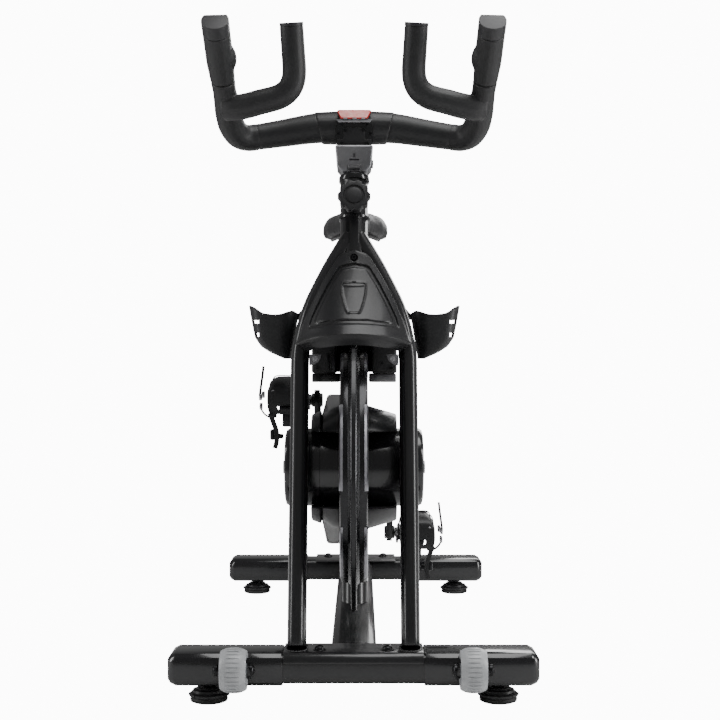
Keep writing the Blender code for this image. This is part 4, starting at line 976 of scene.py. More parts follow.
# ------------------------------------------------------------------------------------ fasteners
@dataclass
class Fasteners:
    """Screws and bolts, drawn standing on Z = 0 and then turned onto their face."""

    socket_sides: int = 6

    def button(self, radius: float, height: float, socket: float) -> bpy.types.Object:
        """A dome-headed bolt with a hexagonal socket and a washer.

        Args:
            radius: Radius of the head.
            height: Height of the dome.
            socket: Radius of the socket's corners.

        Returns:
            The bolt.
        """
        dome = [(radius * cos(t), height * (0.22 + 0.78 * sin(t)))
                for t in (radians(10 * i) for i in range(10))]
        profile = [(0.0, -0.0008), (radius * 1.22, -0.0008), (radius * 1.28, height * 0.05),
                   (radius * 1.22, height * 0.13), (radius, height * 0.15)] + dome[:-1] + [(0.0, height)]
        head = Workshop.lathe(profile, Axis.Z, (0, 0, 0), 32)
        return Workshop.cut(head, self.hexagon(socket, height * 0.35, height * 1.4))

    def cap(self, radius: float, height: float, socket: float) -> bpy.types.Object:
        """A cylindrical cap screw with a hexagonal socket."""
        profile = [(0.0, -0.0006), (radius, -0.0006), (radius, height * 0.8), (radius * 0.9, height),
                   (0.0, height)]
        head = Workshop.lathe(profile, Axis.Z, (0, 0, 0), 28)
        return Workshop.cut(head, self.hexagon(socket, height * 0.3, height * 1.4))

    def pan(self, radius: float, height: float) -> bpy.types.Object:
        """A low screw head with a cross recess."""
        profile = [(0.0, -0.0006), (radius, -0.0006), (radius, height * 0.45), (radius * 0.86, height * 0.8),
                   (radius * 0.6, height * 0.96), (0.0, height)]
        head = Workshop.lathe(profile, Axis.Z, (0, 0, 0), 28)
        long, thin = radius * 0.58, radius * 0.14
        arms = [Workshop.box((-a, -b, height * 0.45), (a, b, height * 1.5)) for a, b in
                ((long, thin), (thin, long))]
        return Workshop.cut(head, *arms)

    def hexagon(self, radius: float, low: float, high: float) -> bpy.types.Object:
        """A six-sided block that cuts a socket."""
        corners = [(radius * cos(pi * i / 3), radius * sin(pi * i / 3)) for i in range(self.socket_sides)]
        return Workshop.plate(corners, Axis.Z, low, high)

    @staticmethod
    def on(head: bpy.types.Object, place: Point, facing: Point) -> bpy.types.Object:
        """Turn a head from +Z to a direction and move it to a place.

        Args:
            head: The head.
            place: Where its seat goes.
            facing: The way it faces.

        Returns:
            The same head.
        """
        turn = Vector(facing).to_track_quat("Z", "Y").to_matrix().to_4x4()
        return Workshop.placed(head, Matrix.Translation(place) @ turn)

    def row(self, head: bpy.types.Object, places: Iterable[Point], facing: Point) -> bpy.types.Object:
        """The same head at several places, as one piece.

        Args:
            head: The head, which is used up.
            places: Where the copies go.
            facing: The way that all of them face.

        Returns:
            All the heads.
        """
        copies = [self.on(Workshop.copy(head), place, facing) for place in places]
        bpy.data.objects.remove(head)
        return Workshop.gather(copies)


SCREWS = Fasteners()


# ------------------------------------------------------------------------------------ stabilizers
@dataclass
class Stabilizers:
    """Front and rear stabilizers: covers, bolts on the mounting plates, feet and transport wheels."""

    bolt_x_front: float = 0.0505
    bolt_x_rear: float = 0.060
    bolt_radius: float = 0.0078
    bolt_height: float = 0.0072
    wheel_ribs: int = 30
    foot_lugs: int = 8

    def build(self) -> None:
        """Make every piece of the base."""
        for end in ("front", "rear"):
            for side in Side:
                self.cover(end, side)
                self.foot(end, side)
        for side in Side:
            self.wheel(side)
        self.plate_bolts()

    def cover(self, end: str, side: Side) -> None:
        """A cover with softened rims and, in front, wheel forks with an axle head on each.

        Args:
            end: front or rear.
            side: Which side.
        """
        node = f"{end}_cover_{side.word}"
        piece = Workshop.skin(node, 0.0012, 3, 30)
        finished(piece, node + "_shell", "frame", GLOSS, [node])
        low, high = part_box(node)
        if end == "front":
            self.wheel_fork(side)
        heads = SCREWS.row(SCREWS.pan(0.0033, 0.0016),
                           [(side.value * x, (low.y + high.y) / 2, low.z + 0.0008) for x in (0.150, 0.262)],
                           (0, 0, -1))
        finished(heads, f"{end}_cover_screws_{side.word}", "frame", BOLT_BLACK)

    def wheel_fork(self, side: Side) -> None:
        """Round bosses and bolt heads on both sides of a transport wheel."""
        low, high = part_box(f"transport_wheel_{side.word}")
        centre = (low + high) / 2
        bosses = []
        for face, way in ((low.x, -1), (high.x, 1)):
            profile = [(0.0, 0.0), (0.0090, 0.0), (0.0090, 0.0036), (0.0078, 0.0050), (0.0052, 0.0050),
                       (0.0045, 0.0068), (0.0, 0.0074)]
            boss = Workshop.lathe(profile, Axis.Z, (0, 0, 0), 32)
            bosses.append(SCREWS.on(boss, (face + way * 0.0046, centre.y, centre.z), (way, 0, 0)))
        finished(Workshop.gather(bosses), f"wheel_axle_heads_{side.word}", "frame", BOLT_BLACK)

    def foot(self, end: str, side: Side) -> None:
        """A levelling foot: rubber base, ribbed adjuster ring with grip lugs, neck and stud.

        Args:
            end: front or rear.
            side: Which side.
        """
        node = f"levelling_foot_{end}_{side.word}"
        low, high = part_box(node)
        centre = (low + high) / 2
        radius = (high.x - low.x) / 2
        base = (centre.x, centre.y, low.z)
        rubber = Workshop.lathe([(0.0, 0.0), (radius * 0.80, 0.0), (radius * 0.92, 0.0016),
                                 (radius * 0.95, 0.005),
                                 (radius * 0.90, 0.0082), (0.0, 0.0082)], Axis.Z, base, 56)
        finished(rubber, f"foot_pad_{end}_{side.word}", body_of(node), RUBBER, [node])
        ring = Workshop.lathe([(0.0, 0.0080), (radius * 0.93, 0.0080), (radius * 0.985, 0.0094),
                               (radius * 0.985, 0.0128), (radius * 0.93, 0.0140), (radius * 0.90, 0.0150),
                               (radius * 0.84, 0.0152), (radius * 0.80, 0.0186), (radius * 0.62, 0.0196),
                               (radius * 0.58, 0.0225), (radius * 0.55, 0.0232), (0.0, 0.0232)],
                              Axis.Z, base, 72)
        lugs = []
        for i in range(self.foot_lugs):
            turn = 2 * pi * i / self.foot_lugs
            lug = Workshop.box((radius * 0.93, -0.0024, 0.0092), (radius * 1.0 + 0.0006, 0.0024, 0.0132),
                               0.0008, 2)
            lugs.append(Workshop.placed(lug, Matrix.Translation(base) @ Matrix.Rotation(turn, 4, "Z")))
        finished(Workshop.gather([ring, *lugs]), f"foot_ring_{end}_{side.word}", body_of(node), SATIN)
        self.neck(node, end, side, base, high.z)

    def neck(self, node: str, end: str, side: Side, base: Point, top: float) -> None:
        """The threaded neck of a foot and its lock nut."""
        height = top - base[2]
        profile = [(0.0, 0.0228), (0.0062, 0.0228)]
        turns = 5
        for i in range(turns):
            z = 0.0232 + (height - 0.0236) * i / turns
            pitch = (height - 0.0236) / turns
            profile += [(0.0049, z), (0.0043, z + pitch * 0.5)]
        profile += [(0.0049, height - 0.0003), (0.0, height - 0.0003)]
        stud = Workshop.lathe(profile, Axis.Z, base, 28)
        finished(stud, f"foot_stud_{end}_{side.word}", body_of(node), BRIGHT_STEEL)
        nut = Workshop.plate([(0.0105 * cos(pi * i / 3), 0.0105 * sin(pi * i / 3)) for i in range(6)],
                             Axis.Z, 0.0228, 0.0262, 0.0006)
        Workshop.placed(nut, Matrix.Translation(base))
        finished(nut, f"foot_nut_{end}_{side.word}", body_of(node), BOLT_BLACK)

    def wheel(self, side: Side) -> None:
        """A transport wheel: a pale ribbed tyre on a darker hub.

        Args:
            side: Which side.
        """
        node = f"transport_wheel_{side.word}"
        low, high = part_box(node)
        centre = (low + high) / 2
        radius = (high.z - low.z) / 2
        half = (high.x - low.x) / 2
        crown = [(radius - 0.0052 * (abs(x) / half) ** 2.6, x) for x in
                 (half * (i / 8 - 1) for i in range(17))]
        profile = ([(radius * 0.62, -half * 0.92), (radius * 0.70, -half)] + crown
                   + [(radius * 0.70, half), (radius * 0.62, half * 0.92), (radius * 0.62, -half * 0.92)])
        tyre = Workshop.lathe(profile, Axis.X, tuple(centre), 96)
        grooves = []
        for i in range(self.wheel_ribs):
            turn = 2 * pi * i / self.wheel_ribs
            groove = Workshop.box((-half * 0.60, -0.0007, radius - 0.0012),
                                  (half * 0.60, 0.0007, radius + 0.002))
            grooves.append(Workshop.placed(groove, Matrix.Translation(centre) @ Matrix.Rotation(turn, 4,
                    "X")))
        Workshop.cut(tyre, Workshop.gather(grooves))
        finished(tyre, f"wheel_tyre_{side.word}", body_of(node), WHEEL, [node])
        hub = Workshop.lathe([(0.0052, -half), (0.0098, -half), (0.0105, -half * 0.8),
                              (radius * 0.58, -half * 0.70),
                              (radius * 0.615, -half * 0.90), (radius * 0.615, half * 0.90),
                              (radius * 0.58, half * 0.70), (0.0105, half * 0.8), (0.0098, half),
                              (0.0052, half),
                              (0.0052, -half)], Axis.X, tuple(centre), 64)
        finished(hub, f"wheel_hub_{side.word}", body_of(node), WHEEL_DARK)

    def plate_bolts(self) -> None:
        """Dome bolts on the two mounting plates."""
        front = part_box("front_mount_plate")
        places = [(x, (front[0].y + front[1].y) / 2 - 0.012, front[1].z) for x in (-self.bolt_x_front,
                self.bolt_x_front)]
        bolts = SCREWS.row(SCREWS.button(self.bolt_radius, self.bolt_height, 0.0034), places, (0, 0, 1))
        finished(bolts, "front_plate_bolts", "frame", BOLT_BLACK)
        rear = middle_of("rear_stabilizer_tube").y
        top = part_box("front_mount_plate")[1].z
        places = [(x, rear, top) for x in (-self.bolt_x_rear, self.bolt_x_rear)]
        bolts = SCREWS.row(SCREWS.button(self.bolt_radius, self.bolt_height, 0.0034), places, (0, 0, 1))
        finished(bolts, "rear_plate_bolts", "frame", BOLT_BLACK)


# ------------------------------------------------------------------------------------ handlebar
@dataclass
class Handlebar:
    """Main bar, horns with merged inner loops, clamp, front plate, console, stem and slider."""

    horn_route: tuple[Point, ...] = ((0.1603, 0.234, 0.8817), (0.1760, 0.230, 0.8795),
                                     (0.1905, 0.219, 0.8825),
                                     (0.2005, 0.200, 0.8950), (0.2045, 0.178, 0.9150),
                                     (0.2075, 0.152, 0.9400),
                                     (0.2105, 0.118, 0.9745), (0.2120, 0.082, 1.0050),
                                     (0.2130, 0.0475, 1.0320))
    loop_route: tuple[Point, ...] = ((0.2060, 0.162, 0.9180), (0.190, 0.1555, 0.9165),
                                     (0.1700, 0.151, 0.9195),
                                     (0.150, 0.148, 0.9245), (0.132, 0.146, 0.9285), (0.1170, 0.1445, 0.9335),
                                     (0.1045, 0.1425, 0.9430), (0.0975, 0.140, 0.9560),
                                     (0.0952, 0.136, 0.973),
                                     (0.0965, 0.129, 0.999), (0.0992, 0.118, 1.045))
    horn_radius: float = 0.0219
    loop_radius: float = 0.0198
    flat_above: float = 0.0130           # the horn's top is flat this far above its centreline
    cap_length: float = 0.0240
    seam: float = 0.0008
    grip_start: float = 0.1560           # the horn's grip starts this far along its path
    voxel: float = 0.0015
    neck_share: float = 0.64
    neck_depth: float = 0.0030
    rest_size: Point = (0.0148, 0.0300, 0.0185)
    front_line: float = -0.476           # world Y of the front stabilizer's centre

    def build(self) -> None:
        """Make every piece of the handlebar."""
        horn = self.horn()
        for name, piece in horn.items():
            twin = Workshop.mirrored(piece)
            for side, part in ((Side.LEFT, piece), (Side.RIGHT, twin)):
                nodes = [f"horn_{side.word}", f"inner_loop_{side.word}"] if name == "horn_body" else []
                finish = SOFT_GRIP if name in ("horn_body", "horn_grip") else GRIP_CAP
                finished(part, f"{name}_{side.word}", "handlebar", finish, nodes, 50)
        self.main_bar()
        self.clamp()
        self.plate()
        self.console()
        self.stem()
        self.slider()

    def world(self, point: Point) -> Vector:
        """A point given as (x, distance behind the front line, height), in the row frame."""
        return Vector((point[0], point[1] + self.front_line, point[2]))

    def cutter(self, place: Vector, along: Vector, low: Point, high: Point) -> bpy.types.Object:
        """A block whose own Z runs along a direction and whose own Y stays in the YZ plane.

        Args:
            place: Where its origin goes.
            along: The direction of its Z.
            low: Lowest corner in its own axes.
            high: Highest corner in its own axes.

        Returns:
            The block.
        """
        block = Workshop.box(low, high)
        side = Vector((1, 0, 0))
        up = along.cross(side).normalized()
        turn = Matrix((side, up, along.normalized())).transposed().to_4x4()
        return Workshop.placed(block, Matrix.Translation(place) @ turn)

    def horn(self) -> dict[str, bpy.types.Object]:
        """The left horn: its body with the inner loop melted in, its grip sleeve and both end caps.

        Returns:
            Pieces by name.
        """
        path = smooth_path([self.world(p) for p in self.horn_route], 8)
        tube = Workshop.tube(path, [self.horn_width(i / (len(path) - 1)) for i in range(len(path))], 7)
        tip = path[-1]
        along = (path[-1] - path[-9]).normalized()
        flat = self.cutter(tip, along, (-0.05, self.flat_above, -0.120), (0.05, 0.06, 0.02))
        Workshop.cut(tube, flat)
        rest = self.blob(path[51] + Vector((-0.0085, 0, 0.0)), self.rest_size, along)
        Workshop.fuse(tube, rest)
        cap_place = tip - along * self.cap_length
        grip_index = self.index_at(path, self.grip_start)
        grip_way = (path[grip_index + 1] - path[grip_index - 1]).normalized()
        loop_path = smooth_path([self.world(p) for p in self.loop_route], 8)
        radii = [self.loop_radius * (1.06 - 0.10 * i / (len(loop_path) - 1)) for i in range(len(loop_path))]
        loop = Workshop.tube(loop_path, radii, 7)
        end, loop_way = loop_path[-1], (loop_path[-1] - loop_path[-4]).normalized()
        pieces = {}
        cap = Workshop.copy(tube)
        Workshop.cut(cap, self.cutter(cap_place + along * self.seam, along, (-0.5, -0.5, -1.0),
                                      (0.5, 0.5, 0.0)))
        pieces["horn_cap"] = Workshop.soften(Workshop.outward(cap), 0.0032, 4, 50)
        grip = Workshop.copy(tube)
        Workshop.cut(grip, self.cutter(cap_place, along, (-0.5, -0.5, 0.0), (0.5, 0.5, 0.5)),
                     self.cutter(path[grip_index], grip_way, (-0.5, -0.5, -0.5), (0.5, 0.5, 0.0)))
        pieces["horn_grip"] = self.trimmed(grip)
        Workshop.cut(tube, self.cutter(path[grip_index] - grip_way * self.seam, grip_way,
                                       (-0.5, -0.5, 0.0), (0.5, 0.5, 0.5)))
        Workshop.fuse(tube, loop)
        loop_cap = Workshop.copy(tube)
        split = end - loop_way * 0.0050
        Workshop.cut(tube, self.cutter(split, loop_way, (-0.04, -0.06, 0.0), (0.04, 0.06, 0.05)))
        Workshop.cut(loop_cap, self.cutter(split - loop_way * 0.0006, loop_way, (-0.5, -0.5, -1.0),
                                           (0.5, 0.5, 0)))
        pieces["horn_body"] = self.trimmed(tube)
        pieces["loop_cap"] = Workshop.soften(Workshop.outward(loop_cap), 0.0017, 4, 50)
        return pieces

    def horn_width(self, share: float) -> float:
        """The horn's radius: full at both ends, with a neck above the bend."""
        return self.horn_radius - self.neck_depth * max(0.0, 1 - abs(share - self.neck_share) / 0.13) ** 0.8

    def trimmed(self, piece: bpy.types.Object) -> bpy.types.Object:
        """Melt a piece into one soft skin."""
        Workshop.moulded(piece, self.voxel, 6)
        return piece

    def blob(self, place: Vector, size: Point, along: Vector) -> bpy.types.Object:
        """An egg shape that lies along a direction."""
        Workshop.clear_selection()
        bpy.ops.mesh.primitive_uv_sphere_add(segments=28, ring_count=18, radius=1.0)
        ball = bpy.context.object
        ball.scale = (size[0], size[2], size[1])
        Workshop.settle(ball)
        turn = along.to_track_quat("Z", "X").to_matrix().to_4x4()
        return Workshop.placed(ball, Matrix.Translation(place) @ turn)

    @staticmethod
    def index_at(path: Sequence[Vector], length: float) -> int:
        """The index of the path's point at a length along it."""
        gone = 0.0
        for i, (a, b) in enumerate(zip(path, path[1:])):
            gone += (b - a).length
            if gone >= length:
                return i
        return len(path) - 2

    def main_bar(self) -> None:
        """The bar: a sleeved grip on each side of the clamp, with a seam at each end."""
        ends = [self.world((0.1601, 0.234, 0.8817)), self.world((0.118, 0.2385, 0.8888)),
                self.world((0.064, 0.2400, 0.8972)), self.world((0.0, 0.240, 0.9010))]
        half = smooth_path(ends, 10)
        grip = Workshop.tube(half[:25], [0.0216 + 0.0046 * (i / 24) ** 1.4 for i in range(25)], 8)
        Workshop.cut(grip, self.slanted(0.0603, 0.24))
        Workshop.soften(grip, 0.0007, 2, 50)
        core = Workshop.tube([self.world((x, 0.240, 0.8985)) for x in (-0.070, 0.0, 0.070)], 0.0195, 6)
        finished(core, "bar_core", "handlebar", SATIN, ["main_bar"])
        twin = Workshop.mirrored(grip)
        for side, piece in ((Side.LEFT, grip), (Side.RIGHT, twin)):
            finished(piece, f"bar_grip_{side.word}", "handlebar", SOFT_GRIP, (), 50)

    def slanted(self, place: float, slope: float) -> bpy.types.Object:
        """A block inside the clamp whose outer face is slanted like the grip's seam."""
        block = Workshop.box((-0.2, -0.08, -0.08), (0.0, 0.08, 0.08))
        turn = Matrix.Rotation(atan2(slope, 1.0), 4, "Y")
        return Workshop.placed(block, Matrix.Translation(self.world((place, 0.24, 0.900))) @ turn)

    def clamp(self) -> None:
        """The clamp cover: swells from the grips to a flat front, with a channel for the plate."""
        middle = 0.2405
        stations = (-0.072, -0.050, -0.025, 0.0, 0.025, 0.050, 0.072)
        path = [self.world((x, middle, 0.8978 - 0.0005 * (abs(x) / 0.06))) for x in stations]
        fine = smooth_path(path, 5)
        radii = [0.0284 - 0.0018 * (abs(p.x) / 0.06) ** 1.6 for p in fine]
        cover = Workshop.tube(fine, radii, 9)
        for way in (-1, 1):
            Workshop.cut(cover, Workshop.placed(
                Workshop.box((-0.1, -0.08, -0.08), (0.1, 0.08, 0.08)),
                Matrix.Translation(self.world((way * 0.0606, 0.24, 0.900)))
                @ Matrix.Rotation(way * atan2(0.24, 1.0), 4, "Y") @ Matrix.Translation((way * 0.1, 0, 0))))
        front = self.world((0, 0.2120, 0)).y
        Workshop.cut(cover, Workshop.box((-0.0335, front - 0.06, 0.80), (0.0335, front, 1.0)))
        Workshop.cut(cover, Workshop.box((-0.0305, -1, 0.80), (0.0305, 1, 0.8600)))
        self.trimmed(cover)
        finished(cover, "clamp_cover", "handlebar", SATIN, ["bar_clamp"], 40)
        bolts = SCREWS.row(SCREWS.cap(0.0042, 0.0035, 0.0022),
                           [self.world((x, 0.2655, 0.905)) for x in (-0.022, 0.022)], (0, 1, 0))
        finished(bolts, "clamp_rear_bolts", "handlebar", BOLT_BLACK)

    def plate(self) -> None:
        """The double plate in front: an octagon, a raised T and eight screws."""
        low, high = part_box("bar_front_plate")
        outline = [(-0.0235, low.z), (0.0235, low.z), (high.x, low.z + 0.0085), (high.x, low.z + 0.0300),
                   (0.0268, high.z - 0.0015), (-0.0268, high.z - 0.0015), (-high.x, low.z + 0.0300),
                   (-high.x, low.z + 0.0085)]
        base = Workshop.plate(outline, Axis.Y, low.y + 0.0010, high.y, 0.0010)
        tee = [(-0.0225, low.z + 0.0014), (0.0225, low.z + 0.0014), (0.0288, low.z + 0.0082),
               (0.0288, low.z + 0.0138), (0.0180, low.z + 0.0138), (0.0180, low.z + 0.0335),
               (-0.0180, low.z + 0.0335), (-0.0180, low.z + 0.0138), (-0.0288, low.z + 0.0138),
               (-0.0288, low.z + 0.0082)]
        trench = Workshop.plate([(x * 1.045, low.z + 0.0150 + (z - low.z - 0.0150) * 1.06) for x, z in tee],
                                Axis.Y, low.y - 0.01, low.y + 0.0022)
        Workshop.cut(base, trench)
        finished(base, "plate_base", "handlebar", GLOSS, ["bar_front_plate"])
        raised = Workshop.plate(tee, Axis.Y, low.y + 0.0002, low.y + 0.0030, 0.0007)
        finished(raised, "plate_tee", "handlebar", SATIN)
        lip = Workshop.plate([(-0.0262, high.z - 0.0022), (0.0262, high.z - 0.0022),
                              (0.0292, high.z + 0.0030),
                              (-0.0292, high.z + 0.0030)], Axis.Y, low.y + 0.0004, high.y + 0.004, 0.0008)
        finished(lip, "plate_lip", "handlebar", PALE_TRIM)
        face = low.y + 0.0010
        places = [(way * x, face if abs(x) != 0.0262 else face, low.z + z) for way in (-1, 1)
                  for x, z in ((0.0208, 0.0385), (0.0265, 0.0235), (0.0155, 0.0290), (0.0205, 0.0065))]
        screws = SCREWS.row(SCREWS.cap(0.0029, 0.0016, 0.0015), places, (0, -1, 0))
        finished(screws, "plate_screws", "handlebar", BOLT_BLACK)

    def console(self) -> None:
        """The display: a dark tray, a red border and a lit window that narrows downwards."""
        low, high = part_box("console")
        def frame_of(inset: float) -> list[Flat]:
            """The window's outline, drawn in by an inset."""
            return [(-0.0225 + inset, low.z + 0.0020 + inset), (0.0225 - inset, low.z + 0.0020 + inset),
                    (0.0272 - inset, low.z + 0.0120), (0.0276 - inset, high.z - 0.0012 - inset),
                    (0.0245 - inset, high.z - inset), (-0.0245 + inset, high.z - inset),
                    (-0.0276 + inset, high.z - 0.0012 - inset), (-0.0272 + inset, low.z + 0.0120)]
        tray = Workshop.plate(frame_of(-0.0004), Axis.Y, low.y + 0.0035, high.y + 0.012, 0.0012)
        finished(tray, "console_tray", "handlebar", GLOSS, ["console"])
        border = Workshop.plate(frame_of(0.0002), Axis.Y, low.y + 0.0018, low.y + 0.0050, 0.0008)
        finished(border, "console_border", "handlebar", LED_BORDER)
        window = Workshop.plate(frame_of(0.0018), Axis.Y, low.y + 0.0008, low.y + 0.0045, 0.0006)
        finished(window, "console_window", "handlebar", LED_PANEL)
        pads = [Workshop.box((x - 0.0032, low.y + 0.0006, low.z + 0.0012),
                             (x + 0.0032, low.y + 0.004, low.z + 0.0034),
                             0.0006, 2) for x in (-0.0145, 0.0005, 0.0150)]
        finished(Workshop.gather(pads), "console_pads", "handlebar", PALE_TRIM)

    def stem(self) -> None:
        """The stem's grey casting: chamfered lower corners, a slot and two holes."""
        low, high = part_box("stem_housing")
        outline = [(-0.0200, low.z), (0.0200, low.z), (0.0285, low.z + 0.0110), (0.0312, high.z + 0.002),
                   (-0.0312, high.z + 0.002), (-0.0285, low.z + 0.0110)]
        body = Workshop.plate(outline, Axis.Y, low.y, high.y, 0.0040, 4)
        front = low.y
        slot = Workshop.box((-0.0080, front - 0.01, low.z + 0.0195), (0.0080, front + 0.006, low.z + 0.0222),
                            0.0011)
        mouth = Workshop.box((-0.0115, front - 0.01, low.z - 0.01), (0.0115, front + 0.060, low.z + 0.0125),
                             0.0030)
        holes = [Workshop.lathe([(0.0, 0.0), (0.0021, 0.0), (0.0021, 0.014), (0.0, 0.014)], Axis.Y,
                                (0, front - 0.008, low.z + z), 20) for z in (0.0262, 0.0300)]
        Workshop.cut(body, slot, mouth, *holes)
        finished(body, "stem_casting", "handlebar", STEM_ALLOY, ["stem_housing"])
        bolts = SCREWS.row(SCREWS.cap(0.0045, 0.0030, 0.0024),
                           [(high.x - 0.0016, (low.y + high.y) / 2 + y, low.z + 0.019)
                                                               for y in (-0.018, 0.018)], (1, 0, 0))
        finished(bolts, "stem_side_bolts", "handlebar", BOLT_BLACK)

    def slider(self) -> None:
        """The slider: a clean copy of its CAD node with rounded edges."""
        piece = Workshop.skin("handlebar_slider", 0.0012, 3)
        finished(piece, "slider_post", "handlebar", FRAME_PAINT, ["handlebar_slider"])


# ------------------------------------------------------------------------------------ knobs
@dataclass
class Knobs:
    """Lobed tightening knobs with a threaded boss, and the ribbed resistance knob."""

    lobes: int = 10

    def build(self) -> None:
        """Make every knob."""
        self.star("handlebar_knob", 0.0262, SATIN)
        self.star("seat_knob", 0.0255, GLOSS)
        self.star("saddle_knob", 0.0235, GLOSS)
        self.resistance()

    def star(self, node: str, radius: float, finish: Finish) -> None:
        """A knob with rounded lobes, a recessed face and a threaded boss, on its joint's axis.

        Args:
            node: The CAD node.
            radius: Outer radius.
            finish: Its finish.
        """
        turn = joint(node + "_turn")
        place, way = Vector(turn["pos_m"]), Vector(turn["axis"])
        node_points = [Vector(v.co) for v in frame["nodes"][node].data.vertices]
        reach = [(p - place).dot(way) for p in node_points]
        wide = [(p - place).dot(way) for p in node_points
                if ((p - place) - (p - place).dot(way) * way).length > radius * 0.8]
        near, far = min(wide), max(wide)
        outward = 1 if abs(far) > abs(near) else -1
        low, high = (near, far) if outward == 1 else (-far, -near)
        face = way * outward
        outline = []
        for i in range(self.lobes * 12):
            t = 2 * pi * i / (self.lobes * 12)
            outline.append(((radius - 0.0028 * (0.5 - 0.5 * cos(self.lobes * t)) ** 1.6) * cos(t),
                            (radius - 0.0028 * (0.5 - 0.5 * cos(self.lobes * t)) ** 1.6) * sin(t)))
        head = Workshop.plate(outline, Axis.Z, low + 0.004, high - 0.0005, 0.0018, 3)
        Workshop.cut(head, Workshop.lathe([(0.0, high - 0.0022), (radius * 0.64, high - 0.0022),
                                           (radius * 0.68, high + 0.002), (0.0, high + 0.002)], Axis.Z,
                                           (0, 0, 0), 48))
        button = Workshop.lathe([(0.0, high - 0.0030), (radius * 0.52, high - 0.0030),
                                 (radius * 0.50, high - 0.0010),
                                 (radius * 0.40, high - 0.0004), (0.0, high - 0.0002)], Axis.Z, (0, 0, 0), 48)
        skirt = Workshop.lathe([(0.0, low), (radius * 0.60, low), (radius * 0.72, low + 0.0022),
                                (radius * 0.86, low + 0.0052), (0.0, low + 0.0056)], Axis.Z, (0, 0, 0), 48)
        inner = min(r * outward for r in reach)
        profile = [(0.0, inner + 0.0002)]
        pitch = 0.0016
        z = inner + 0.0002
        while z < low:
            profile += [(0.0042, z), (0.0036, z + pitch / 2)]
            z += pitch
        profile += [(0.0042, low + 0.001), (0.0, low + 0.001)]
        thread = Workshop.lathe(profile, Axis.Z, (0, 0, 0), 24)
        body = body_of(node)
        matrix = Matrix.Translation(place) @ face.to_track_quat("Z", "Y").to_matrix().to_4x4()
        for part, name, look, nodes in ((head, node + "_head", finish, [node]),
                                        (button, node + "_button", SATIN, []),
                                        (skirt, node + "_skirt", finish, []),
                                        (thread, node + "_thread", BRIGHT_STEEL, [])):
            finished(Workshop.placed(part, matrix), name, body, look, nodes)

    def resistance(self) -> None:
        """The round resistance knob: fine ribs round its side and a dished top."""
        node = "resistance_knob"
        low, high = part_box(node)
        centre = (low + high) / 2
        radius = (high.x - low.x) / 2
        tall = high.z - low.z
        base = (centre.x, centre.y, low.z)
        body = Workshop.lathe([(0.0, 0.0), (radius * 0.62, 0.0), (radius * 0.70, 0.002),
                               (radius * 0.74, tall * 0.2),
                               (radius * 0.93, tall * 0.30), (radius * 0.96, tall * 0.34),
                               (radius * 0.98, tall * 0.86),
                               (radius * 0.93, tall * 0.95), (radius * 0.80, tall), (radius * 0.66, tall),
                               (radius * 0.60, tall - 0.0016), (0.0, tall - 0.0026)], Axis.Z, base, 64)
        finished(body, "resistance_dial", body_of(node), SATIN, [node])
        ribs = []
        for i in range(24):
            rib = Workshop.box((radius * 0.94, -0.0008, tall * 0.36), (radius * 1.0, 0.0008, tall * 0.84),
                               0.0005, 2)
            ribs.append(Workshop.placed(rib, Matrix.Translation(base) @ Matrix.Rotation(2 * pi * i / 24, 4,
                    "Z")))
        finished(Workshop.gather(ribs), "resistance_ribs", body_of(node), RUBBER)
        stripe = Workshop.box((-0.0008, -radius * 0.60, tall - 0.0022),
                              (0.0008, -radius * 0.25, tall - 0.0012))
        finished(Workshop.placed(stripe, Matrix.Translation(base)), "resistance_mark", body_of(node),
                 PALE_TRIM)


